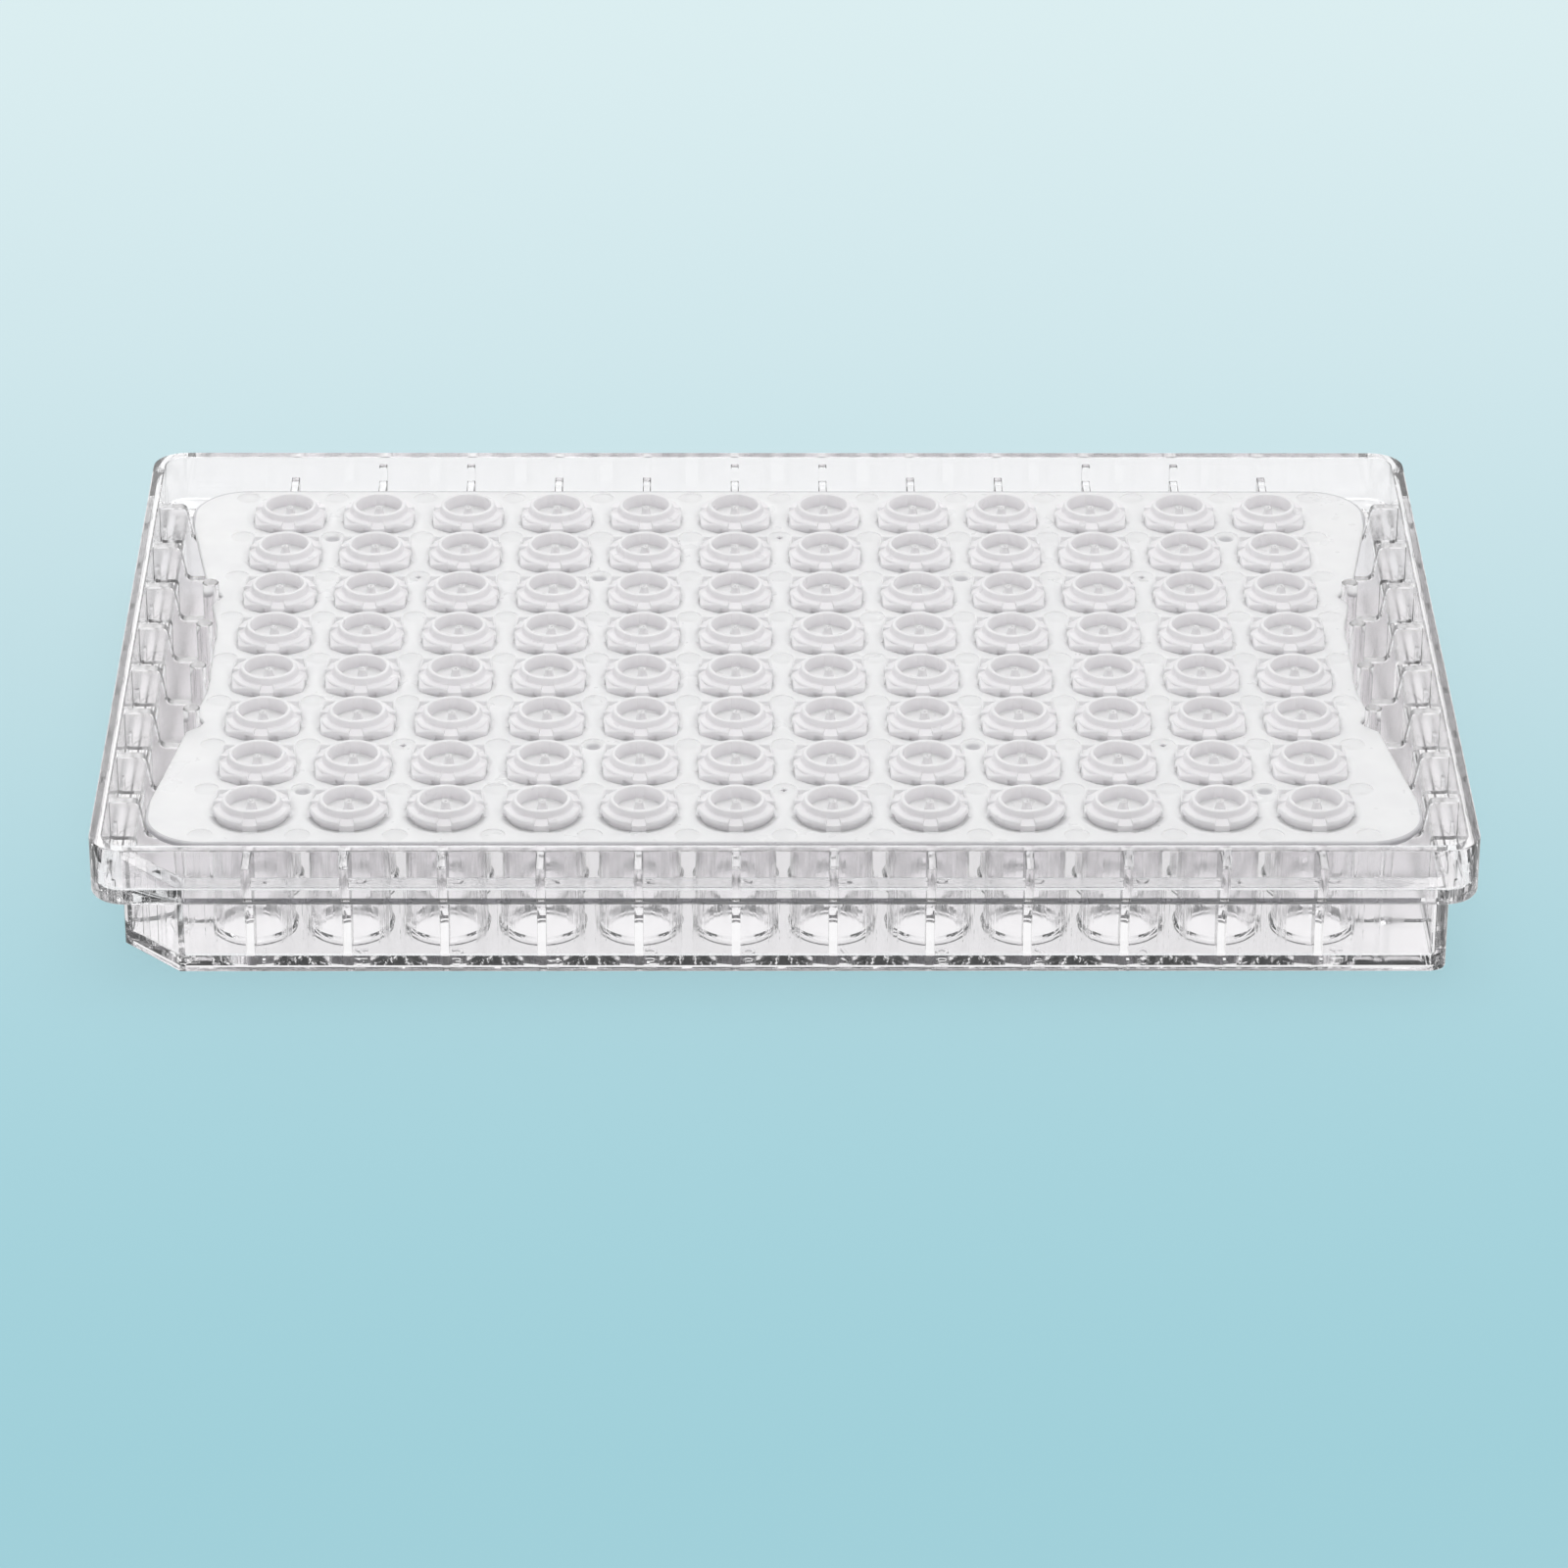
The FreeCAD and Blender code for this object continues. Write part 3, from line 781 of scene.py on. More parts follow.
    def apply(self, base: Thing, result: Socket, material: Material) -> None:
        """Close the tree, run it on an object and turn the result into the object's plain mesh.

        Args:
            base: the object whose mesh enters the tree.
            result: the finished geometry.
            material: set on all of it.
        """
        real = add_node(self.tree, "GeometryNodeRealizeInstances", {0: result}).outputs[0]
        held = self.named("Material", "NodeSocketMaterial", material)
        dressed = add_node(self.tree, "GeometryNodeSetMaterial", {"Geometry": real, "Material": held})
        self.tree.links.new(dressed.outputs[0], self.exit.inputs[0])
        modifier = base.modifiers.new(self.tree.name, "NODES")
        modifier.node_group = self.tree
        for identifier, value in self.values.items():
            modifier[identifier] = value
        bake_modifiers(base)
        for helper in self.helpers:
            bpy.data.objects.remove(helper, do_unlink=True)


# ---------------------------------------------------------------- the clear body


@dataclass
class PlateBody:
    """The clear moulding: deck, wells, body, flange, ribs, webs and posts."""

    grid: WellGrid
    height: float = 14.35
    flange: Pair = (63.88, 42.74)
    flange_corner: float = 3.2
    flange_foot: float = 8.55
    flange_round: float = 0.5
    body: Pair = (61.45, 39.8)
    body_corner: float = 1.5
    wall: float = 1.2
    deck_low: float = 0.3
    deck_high: float = 1.2
    mouth: float = 4.0
    bore: float = 3.25
    tube: float = 3.85
    draft: float = 0.15
    tube_end: float = 11.6
    sides: int = 48
    corner_steps: int = 8
    edge: float = 0.12
    fillet: float = 0.35
    inner_corner: float = 0.4
    foot_flare: float = 0.2
    round_steps: int = 4
    sunk: float = 0.3
    rib: float = 0.8
    rib_edge: float = 0.08
    rib_top: float = 12.1
    nib_top: float = 13.6
    nib_length: float = 0.85
    nib_edge: float = 0.1
    nib_round: float = 0.35
    web: float = 1.2
    web_top: float = 13.65
    web_shoulder: float = 2.7
    web_slope: float = 0.65
    web_round: float = 0.6
    web_ledge: float = 9.95
    post: float = 0.8
    post_top: float = 13.99
    post_edge: float = 0.1
    post_flare: float = 0.25
    post_sides: int = 24
    mat_half_width: float = 37.7
    mat_foot: float = 11.8
    clear_of_socket: float = 4.55
    clearance: float = 0.3
    label_size: float = 2.9
    label_height: float = 0.25
    label_side: float = 1.15
    label_room: float = 5.6

    def loop(self, half: Pair, radius: float, height: float, cut: float = 0.0) -> list[Point]:
        """Return a rounded rectangle, with the corner beside well A1 cut off where cut isn't 0.

        Args:
            half: half its length and half its width.
            radius: corner radius.
            height: Z of the loop.
            cut: leg of the cut corner.

        Returns:
            Its points, anticlockwise seen from above, as many at every corner.
        """
        points: list[Point] = []
        for quarter in range(4):
            sign_x, sign_y = (1, 1, -1, -1)[quarter], (-1, 1, 1, -1)[quarter]
            corner_x, corner_y = sign_x * half[0], sign_y * half[1]
            for step in range(self.corner_steps + 1):
                share = step / self.corner_steps
                if cut and quarter == 3:
                    points.append((corner_x + cut * share, corner_y + cut * (1 - share), height))
                    continue
                angle = math.radians(90 * (quarter - 1) + 90 * share)
                points.append((corner_x - sign_x * radius + radius * math.cos(angle),
                               corner_y - sign_y * radius + radius * math.sin(angle), height))
        return points

    def shell(self) -> Shape:
        """Return deck, body and flange as one closed skin."""
        wall, edge, fillet = self.wall, self.edge, self.fillet
        in_cut = CORNER_CUT - wall * (2 - math.sqrt(2))
        inside = (self.body[0] - wall, self.body[1] - wall)
        flange_in = (self.flange[0] - wall, self.flange[1] - wall)
        ledge = self.flange_foot + wall
        corner_in = self.flange_corner - wall

        def grown(half: Pair, by: float) -> Pair:
            """Return half sizes that are larger by a distance."""
            return half[0] + by, half[1] + by

        def skin(half: Pair, radius: float, drops: Sequence[Pair], cut: float = 0.0) -> list[list[Point]]:
            """Return loops that grow outwards by a distance, each at its height."""
            return [self.loop(grown(half, by), radius, height, cut) for by, height in drops]

        inner, flare = self.inner_corner, self.foot_flare
        loops = [*skin(inside, inner, ((0.0, self.deck_low), (0.0, edge)), in_cut),
                 self.loop(grown(inside, edge), inner + 0.1, 0.0, in_cut + edge * 0.6),
                 self.loop(grown(self.body, -edge), self.body_corner, 0.0, CORNER_CUT - edge * 0.6),
                 *skin(self.body, self.body_corner, ((0.0, edge), (0.0, self.flange_foot - flare)),
                       CORNER_CUT),
                 self.loop(grown(self.body, flare), self.body_corner + flare, self.flange_foot,
                           CORNER_CUT + flare / 2)]
        for step in range(self.round_steps + 1):
            angle = math.pi / 2 * step / self.round_steps
            out = self.flange_round * (math.sin(angle) - 1)
            up = self.flange_round * (1 - math.cos(angle))
            loops.append(self.loop(grown(self.flange, out), self.flange_corner + out * 0.8,
                                   self.flange_foot + up))
        for half, corner, side in ((self.flange, self.flange_corner, -1), (flange_in, corner_in, 1)):
            rim = [self.loop(grown(half, side * by), corner + side * by, self.height - drop)
                   for by, drop in ((0.0, edge), (HALFWAY * edge, HALFWAY * edge), (edge, 0.0))]
            loops += rim if side < 0 else reversed(rim)
        bow = HALFWAY * fillet
        loops += skin(flange_in, corner_in, ((0.0, ledge + fillet), (-bow, ledge + bow), (-fillet, ledge)))
        loops += [self.loop(grown(inside, fillet), inner + 0.2, ledge, in_cut + 0.2),
                  self.loop(grown(inside, bow), inner + 0.1, ledge - bow, in_cut + 0.1),
                  *skin(inside, inner, (
                      (0.0, ledge - fillet), (0.0, self.deck_high + fillet),
                      (-bow, self.deck_high + bow), (-fillet, self.deck_high)), in_cut)]
        return loft(loops)

    def tube_piece(self) -> Shape:
        """Return a well's outside, solid, with the raised rim of its mouth."""
        end = self.tube - self.draft
        return turned([(self.mouth - 0.1, 0.0), (self.mouth, 0.1), (self.mouth, self.deck_low + 0.3),
                       (self.tube + 0.25, self.deck_high), (self.tube, self.deck_high + 0.3),
                       (end, self.tube_end - 0.1), (end - 0.1, self.tube_end)], self.sides)

    def bore_piece(self) -> Shape:
        """Return the space inside a well, a little past both its ends."""
        end = self.bore - self.draft
        return turned([(self.bore + 0.35, -0.1), (self.bore + 0.15, 0.0), (self.bore, 0.2),
                       (end, self.tube_end - 0.08), (end + 0.08, self.tube_end),
                       (end + 0.18, self.tube_end + 0.1)], self.sides)

    def against_walls(self, axis: int, tube_side: float) -> list[Pair]:
        """Return the corners that a rib or a web sinks into deck, body and flange.

        Args:
            axis: 0 for what stands along X, 1 for what stands along Y.
            tube_side: where it starts, inside a tube's wall.

        Returns:
            The corners, from the tube outwards and up to the flange's foot.
        """
        low, root = self.deck_high - self.sunk, self.wall / 2
        body, flange = (half[axis] - self.wall + root for half in (self.body, self.flange))
        ledge = self.flange_foot + self.wall - root
        return [(tube_side, low), (body, low), (body, ledge), (flange, ledge)]

    def rib_pair(self) -> Shape:
        """Return the ribs at the front and back of one column."""
        start = -self.grid.first_y
        tube_side = start + self.tube - self.wall / 2
        socket = start + self.clear_of_socket
        mat_side = self.mat_half_width + self.clearance
        low = self.mat_foot - self.clearance
        outline = self.against_walls(1, tube_side)
        outline += [(outline[-1][0], self.rib_top), (mat_side, self.rib_top), (mat_side, low),
                    (socket, low), (socket, low - SOCKET_DEPTH), (tube_side, low - SOCKET_DEPTH)]
        return self.both(prism(outline, self.rib, self.rib_edge, lambda a, b, depth: (depth, a, b)))

    def nib_pairs(self) -> Shape:
        """Return the nibs of two neighbouring columns, front and back."""
        flange_in = self.flange[1] - self.wall
        low = self.rib_top - self.wall / 2
        corners = [(flange_in - self.nib_length, low), (flange_in + self.wall / 2, low),
                   (flange_in + self.wall / 2, self.nib_top),
                   (flange_in - self.nib_length, self.nib_top)]
        outline = rounded(corners, [0, 0, 0, self.nib_round])
        shape = Shape()
        for side in (-0.5, 0.5):
            nib = self.both(prism(outline, self.rib, self.nib_edge, lambda a, b, depth: (depth, a, b)))
            shape.add_shape(nib, lambda p: (p[0] + side * self.grid.pitch, p[1], p[2]))
        return shape

    def web_pair(self) -> Shape:
        """Return the webs at the left and right of one row."""
        tube_side = -self.grid.first_x + self.tube - self.wall / 2
        shoulder = self.flange[0] - self.wall - self.web_shoulder
        corners = self.against_walls(0, tube_side)
        corners += [(corners[-1][0], self.web_top), (shoulder, self.web_top),
                    (shoulder - self.web_slope, self.web_ledge), (tube_side, self.web_ledge)]
        outline = rounded(corners, [0, 0, 0, 0, 0, self.web_round, self.web_round, 0])
        return self.both(prism(outline, self.web, self.edge, lambda a, b, depth: (a, -depth, b)))

    def posts(self) -> Shape:
        """Return the round posts at the webs' ends, tall beside the mat's waist and flush elsewhere."""
        shape = Shape()
        wide = self.post + self.post_flare
        foot = [(wide, self.deck_high - self.sunk), (wide, self.deck_high),
                (self.post, self.deck_high + self.post_flare)]
        for row in range(self.grid.rows):
            y = self.grid.first_y + row * self.grid.pitch
            top = self.post_top if abs(y) < TALL_ROWS * self.grid.pitch / 2 else self.web_ledge
            cap = [(self.post, top - self.post_edge), (self.post - self.post_edge, top)]
            for side in (-1, 1):
                shape.add_shape(turned(foot + cap, self.post_sides, side * POST_X, y))
        return shape

    def labels(self) -> Thing:
        """Return the raised grid labels on the deck's outer face, which read from that side."""
        grid = self.grid
        marks = [(str(column + 1), grid.first_x + column * grid.pitch + self.label_side,
                  grid.first_y - self.label_room) for column in range(grid.columns)]
        marks += [(chr(ord("A") + row), grid.first_x - self.label_room - self.label_side,
                   grid.first_y + row * grid.pitch - self.label_side) for row in range(grid.rows)]
        shape = Shape()
        for text, x, y in marks:
            curve = bpy.data.curves.new("label", "FONT")
            curve.body, curve.size = text, self.label_size
            curve.align_x, curve.align_y = "CENTER", "CENTER"
            curve.extrude = self.label_height
            holder = bpy.data.objects.new("label", curve)
            mesh = bpy.data.meshes.new_from_object(holder)
            shape.add([(x + v.co.x, y - v.co.y, self.deck_low - v.co.z) for v in mesh.vertices],
                      [tuple(face.vertices) for face in mesh.polygons])
            bpy.data.objects.remove(holder, do_unlink=True)
        thing = shape.object("Labels")
        welded = bmesh.new()
        welded.from_mesh(thing.data)
        bmesh.ops.remove_doubles(welded, verts=welded.verts, dist=WELD)
        bmesh.ops.recalc_face_normals(welded, faces=welded.faces)
        welded.to_mesh(thing.data)
        welded.free()
        return thing

    def both(self, piece: Shape) -> Shape:
        """Return a piece and its copy turned half round to the other side."""
        pair = Shape()
        pair.add_shape(piece)
        pair.add_shape(piece, lambda p: (-p[0], -p[1], p[2]))
        return pair

    def build(self, finish: ClearPolystyrene) -> Thing:
        """Build the moulding and dress it.

        Args:
            finish: the clear plastic.

        Returns:
            The finished piece.
        """
        body = self.shell().object("clear_plate_body")
        tree = Repeater("plate body", self.grid)
        tubes = tree.on_grid(tree.piece(self.tube_piece().object("Well tube")))
        bores = tree.on_grid(tree.piece(self.bore_piece().object("Well bore")))
        ribs = tree.row(tree.piece(self.rib_pair().object("Rib pair")), tree.columns, tree.pitch)
        nibs = tree.row(tree.piece(self.nib_pairs().object("Nib pairs")),
                        tree.math("DIVIDE", tree.columns, 4.0), tree.math("MULTIPLY", tree.pitch, 4.0))
        webs = tree.row(tree.piece(self.web_pair().object("Web pair")), tree.rows, tree.pitch, "Y")
        posts, labels = tree.piece(self.posts().object("Posts")), tree.piece(self.labels())
        solid = tree.union(tree.entry.outputs["Geometry"], tubes, ribs, nibs, webs, posts, labels)
        material = finish.material()
        tree.apply(body, tree.cut(solid, bores), material)
        soften(body)
        return dress(body, material, Slot.BODY, "plate_body")


# ---------------------------------------------------------------- the drain mat


@dataclass(frozen=True)
class Ring:
    """One ring of a cup's section: radius and height, and both again where the cup is notched."""

    radius: float
    height: float
    notch_radius: float = 0.0
    notch_height: float = 0.0

    def at(self, notched: bool) -> Pair:
        """Return radius and height for a column of the ring."""
        if notched and self.notch_radius:
            return self.notch_radius, self.notch_height
        return self.radius, self.height


@dataclass
class DrainMat:
    """The milky mat: sheet, drip cups with spouts and notches, sockets below, marks of the mould."""

    grid: WellGrid
    top: float = 12.4
    thickness: float = 0.6
    width: float = 75.4
    length: float = 118.8
    waist: float = 110.6
    waist_span: float = 14.0
    shoulder_span: float = 62.0
    corner: float = 5.5
    corner_steps: int = 6
    edge: float = 0.12
    rim: float = 2.7
    rim_bore: float = 2.31
    rim_top: float = 13.88
    rim_root: float = 2.85
    ledge: float = 13.2
    foot: float = 3.6
    undercut: float = 3.42
    undercut_top: float = 12.66
    dish: float = 4.36
    dish_floor: float = 12.16
    cup_floor: float = 12.5
    notch_foot: float = 12.78
    spout_root: float = 0.56
    spout_tip: float = 0.36
    spout_bore: float = 0.17
    spout_top: float = 13.55
    spout_sides: int = 14
    socket: float = 3.75
    socket_wall: float = 0.5
    post_room: float = 1.1
    ear_x: float = 3.4
    ear_y: float = 3.2
    ear_wall: float = 0.2
    ear_steps: int = 3
    pocket: float = 0.55
    flare_x: float = 3.42
    flare_y: float = 2.62
    flare_slope: float = 0.7
    pin_mark: float = 1.2
    pin_depth: float = 0.12
    pin_sides: int = 28
    gate_mark: float = 0.95
    gate_depth: float = 0.48
    gate_sides: int = 24
    gate_places: tuple[tuple[int, int], ...] = ((5, 3), (2, 2))
    nick: float = 0.36
    nick_depth: float = 0.3
    nick_places: tuple[tuple[int, int], ...] = ((0, 3), (4, 2))
    weld: float = 0.004
    quarter: tuple[float, ...] = (-45.0, -33.75, -22.5, -11.6, -10.6, 0.0, 10.6, 11.6, 22.5, 33.75)
    notch_angle: float = 11.0

    def columns(self) -> list[tuple[float, bool]]:
        """Return the angle of every column of a cup's rings, and whether it is in a notch."""
        return [(math.radians(angle + 90 * turn), abs(angle) < self.notch_angle)
                for turn in range(4) for angle in self.quarter]

    def border(self, height: float) -> list[Point]:
        """Return the square edge of one cell, with a point for every column of the rings."""
        half = self.grid.pitch / 2
        points: list[Point] = []
        for turn in range(4):
            for angle in self.quarter:
                along = half * math.tan(math.radians(angle))
                x, y = ((half, along), (-along, half), (-half, -along), (along, -half))[turn]
                points.append((x, y, height))
        return points

    def ring(self, ring: Ring) -> list[Point]:
        """Return the points of one ring."""
        points = []
        for angle, notched in self.columns():
            radius, height = ring.at(notched)
            points.append((radius * math.cos(angle), radius * math.sin(angle), height))
        return points

    def section(self) -> list[Ring]:
        """Return the rings of the upper side, from the cup's floor out to the dish's edge."""
        ledge, low = self.ledge, self.notch_foot
        return [
            Ring(self.rim_bore - 0.12, self.cup_floor),
            Ring(self.rim_bore - 0.03, self.cup_floor + 0.04),
            Ring(self.rim_bore, self.cup_floor + 0.14, self.rim_bore + 0.05, self.cup_floor + 0.14),
            Ring(self.rim_bore + 0.02, self.rim_top - 0.07),
            Ring(self.rim_bore + 0.09, self.rim_top),
            Ring(self.rim - 0.09, self.rim_top),
            Ring(self.rim, self.rim_top - 0.08),
            Ring(self.rim_root - 0.02, ledge + 0.1),
            Ring(self.rim_root + 0.08, ledge, self.rim_root + 0.05, ledge - 0.05),
            Ring(self.foot - 0.1, ledge - 0.02, self.foot - 0.1, low + 0.05),
            Ring(self.foot, ledge - 0.12, self.foot, low),
            Ring(self.foot + 0.01, self.undercut_top + 0.06, self.foot + 0.02, self.undercut_top),
            Ring(self.undercut, self.undercut_top, self.foot + 0.06, self.undercut_top - 0.15),
            Ring(self.undercut, self.dish_floor, self.foot + 0.1, self.dish_floor + 0.1),
            Ring(self.foot + 0.15, self.dish_floor + 0.01, self.foot + 0.15, self.dish_floor + 0.1),
            Ring(self.foot + 0.4, self.dish_floor + 0.12),
            Ring(self.dish, self.top)]

    def cell(self) -> Shape:
        """Return both faces of one cell of the mat with its cup, open along its four sides."""
        upper = [self.ring(ring) for ring in self.section()] + [self.border(self.top)]
        shape = loft(list(reversed(upper)), False, True)
        low, wall = self.top - self.thickness, self.socket + self.socket_wall
        under = [Ring(self.socket, low), Ring(self.socket, low - SOCKET_DEPTH + 0.05),
                 Ring(self.socket + 0.05, low - SOCKET_DEPTH),
                 Ring(wall - 0.05, low - SOCKET_DEPTH), Ring(wall, low - SOCKET_DEPTH + 0.05),
                 Ring(wall, low)]
        lower = [self.ring(ring) for ring in under] + [self.border(low)]
        shape.add_shape(loft(lower, True, False))
        return shape

    def spout(self) -> Shape:
        """Return the drip spout with its blind hole."""
        return turned([(self.spout_root, self.cup_floor - 0.1), (self.spout_root, self.cup_floor + 0.06),
                       (self.spout_tip + 0.03, self.spout_top - 0.3), (self.spout_tip, self.spout_top - 0.05),
                       (self.spout_tip - 0.05, self.spout_top), (self.spout_bore, self.spout_top),
                       (self.spout_bore - 0.04, self.spout_top - 0.5)], self.spout_sides)

    def ear_walls(self) -> Shape:
        """Return the thin walls that square off the two corners of a cup's foot at +Y."""
        x, y, wall = self.ear_x, self.ear_y, self.ear_wall
        meet_x = math.sqrt(self.foot ** 2 - y ** 2) - 0.15
        outer = rounded([(self.foot, 0.7), (x, y), (meet_x, y)], [0, 0.3, 0], self.ear_steps)
        inner = rounded([(meet_x, y - wall), (x - wall, y - wall), (self.foot - wall, 0.7)],
                        [0, 0.1, 0], self.ear_steps)
        return self.both_corners(outer + inner, 1, 0.06)

    def ear_floors(self) -> Shape:
        """Return the floors of the pockets behind the ear walls."""
        x, y = self.ear_x - 0.06, self.ear_y - 0.06
        meet_x = math.sqrt(self.foot ** 2 - y ** 2) - 0.25
        outline = rounded([(self.foot - 0.1, 0.75), (x, y), (meet_x, y), (1.9, 1.6)],
                          [0, 0.35, 0, 0], self.ear_steps)
        return self.both_corners(outline, 1, self.pocket)

    def flares(self) -> Shape:
        """Return the solid lugs that flare out and down at the two corners of a cup's foot at -Y."""
        outline = rounded([(self.foot - 0.06, 0.7), (self.flare_x, self.flare_y), (1.5, 3.24), (1.5, 1.6)],
                          [0, 0.45, 0, 0], 4)
        return self.both_corners(outline, -1, 0.05, self.flare_slope)

    def both_corners(self, outline: Sequence[Pair], side: int, drop: float, slope: float = 0.0) -> Shape:
        """Stand an outline at a cup's +X, +Y corner upright at two corners.

        Args:
            outline: corners, anticlockwise.
            side: 1 for the corners at +Y, -1 for those at -Y.
            drop: how far the walls stay below the cup's ledge.
            slope: how steeply the top falls outside the cup's foot.

        Returns:
            Both pieces.
        """
        low, high = self.dish_floor - 0.1 - drop / 10, self.ledge - drop
        middle = (low + high) / 2

        def place(a: float, b: float, depth: float) -> Point:
            """Set a corner at its height, lower at the top where it lies outside the foot."""
            fall = slope * max(math.hypot(a, b) - self.foot, 0.0) if depth > 0 else 0.0
            return a, b, middle + depth - fall

        shape = Shape()
        for along_x in (-1, 1):
            points = [(along_x * x, side * y) for x, y in outline]
            if along_x != side:
                points.reverse()
            shape.add_shape(prism(points, high - low, 0.07, place))
        return shape

    def half_length(self, y: float) -> float:
        """Return the mat's half length at a place along Y, waist and posts included."""
        waist, full = self.waist / 2, self.length / 2
        bend, shoulder = self.waist_span / 2, self.shoulder_span / 2
        share = min(max((abs(y) - bend) / (shoulder - bend), 0.0), 1.0)
        reach = waist + (full - waist) * share
        into_corner = abs(y) - (self.width / 2 - self.corner)
        if into_corner > 0:
            reach = full - self.corner + math.sqrt(self.corner ** 2 - into_corner ** 2)
        for row in range(TALL_ROWS):
            away = y - (row - (TALL_ROWS - 1) / 2) * self.grid.pitch
            if abs(away) < self.post_room:
                reach = min(reach, POST_X - math.sqrt(self.post_room ** 2 - away ** 2))
        return reach

    def rim_points(self) -> list[tuple[Pair, Pair]]:
        """Return pairs of a point on the block of cells and one on the mat's edge, all the way round."""
        half = self.grid.pitch / 2
        steps = [half * math.tan(math.radians(angle)) for angle in self.quarter]
        block_x, block_y = -self.grid.first_x + half, -self.grid.first_y + half
        side = [self.grid.first_y + row * self.grid.pitch + step
                for row in range(self.grid.rows) for step in steps]
        end = [self.grid.first_x + column * self.grid.pitch + step
               for column in range(self.grid.columns) for step in steps]
        centre = (self.length / 2 - self.corner, self.width / 2 - self.corner)
        first = math.asin((block_y - centre[1]) / self.corner)
        fan = [first + (math.pi / 2 - first) * step / self.corner_steps
               for step in range(self.corner_steps + 1)]
        arc = [(centre[0] + self.corner * math.cos(a), centre[1] + self.corner * math.sin(a)) for a in fan]
        pairs = [((block_x, y), (self.half_length(y), y)) for y in side[1:]]
        pairs += [((block_x, block_y), spot) for spot in arc]
        pairs += [((-x, block_y), (-x, self.width / 2)) for x in end[1:]]
        pairs += [((-block_x, block_y), (-x, y)) for x, y in reversed(arc)]
        half_turn = [((-a[0], -a[1]), (-b[0], -b[1])) for a, b in pairs]
        return pairs + half_turn

    def skirting(self) -> Shape:
        """Return the strip of sheet between the block of cells and the mat's edge."""
        pairs = self.rim_points()
        outer = [pair[1] for pair in pairs]
        inner = [pair[0] for pair in pairs]
        drawn = inset(outer, self.edge)
        low = self.top - self.thickness
        lines = [(inner, self.top), (drawn, self.top), (outer, self.top - self.edge),
                 (outer, low + self.edge), (drawn, low), (inner, low)]
        return loft([[(x, y, height) for x, y in line] for line, height in reversed(lines)], False, False)

    def pin_piece(self) -> Shape:
        """Return what an ejector pin presses in at every crossing of the cells' edges."""
        low = self.top - self.pin_depth
        return turned([(self.pin_mark - 0.12, low), (self.pin_mark - 0.03, low + 0.03),
                       (self.pin_mark, self.top + 0.1)], self.pin_sides)

    def crossings(self, places: Sequence[tuple[int, int]]) -> list[Pair]:
        """Return places counted in pitches from the middle, and their mirror images, in millimetres."""
        signed = {(side * x, end * y) for x, y in places for side in (-1, 1) for end in (-1, 1)}
        return [(x * self.grid.pitch, y * self.grid.pitch) for x, y in sorted(signed)]

    def gate_marks(self) -> Shape:
        """Return the deeper dimples and the small square nicks, which stand at some of the crossings."""
        shape = Shape()
        low, above = self.top - self.gate_depth, self.top + 0.1
        dimple = [(0.3 * self.gate_mark, low), (0.65 * self.gate_mark, low + 0.1),
                  (self.gate_mark, self.top - 0.12), (self.gate_mark, above)]
        for x, y in self.crossings(self.gate_places):
            shape.add_shape(turned(dimple, self.gate_sides, x, y))
        square = [(self.nick, self.top - self.nick_depth - self.pin_depth), (self.nick, above)]
        for x, y in self.crossings(self.nick_places):
            shape.add_shape(turned(square, 4, x, y))
        return shape

    def build(self, finish: NaturalPolypropylene) -> Thing:
        """Build the mat and dress it.

        Args:
            finish: the milky plastic.

        Returns:
            The finished piece.
        """
        mat = self.skirting().object("milky_drain_mat")
        tree = Repeater("drain mat", self.grid)
        cells = tree.on_grid(tree.piece(self.cell().object("Cell")))
        sheet = tree.welded([tree.entry.outputs["Geometry"], cells], self.weld * MM)
        spouts = tree.on_grid(tree.piece(self.spout().object("Spout")))
        ears = [tree.on_grid(tree.piece(shape.object(name)), (0.0, -1.0), shift) for name, shape, shift in (
            ("Back ears", self.ear_walls(), -0.5), ("Back ear floors", self.ear_floors(), -0.5),
            ("Front ears", self.flares(), 0.5))]
        pins = tree.on_grid(tree.piece(self.pin_piece().object("Pin mark")), (1.0, 1.0))
        gates = tree.piece(self.gate_marks().object("Gate marks"))
        solid = tree.cut(tree.cut(tree.union(sheet, spouts, *ears), pins), gates)
        material = finish.material()
        tree.apply(mat, solid, material)
        soften(mat, gentle=20.0)
        return dress(mat, material, Slot.MAT, "underdrain")


# ---------------------------------------------------------------- filters


@dataclass
class FilterDiscs:
    """The white discs between wells and mat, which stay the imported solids."""

    prefix: str = "membranes_row_"

    def build(self, finish: FilterMembrane) -> None:
        """Dress every row of discs."""
        material = finish.material()
        for name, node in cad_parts.items():
            if name.startswith(self.prefix):
                node.data.materials.clear()
                node.data.materials.append(material)
                log.info("%s dressed", name)


# ---------------------------------------------------------------- studio


@dataclass(frozen=True)
class Softbox:
    """A square soft lamp that points at the plate: place and side in metres, power in watts."""

    name: str
    place: Point
    side: float
    power: float

    def build(self) -> None:
        """Hang the lamp."""
        data = bpy.data.lights.new(self.name, "AREA")
        data.size = self.side
        data.energy = self.power
        lamp = bpy.data.objects.new(self.name, data)
        lamp.location = self.place
        lamp.rotation_euler = (-Vector(self.place)).to_track_quat("-Z", "Y").to_euler()
        hang(lamp)


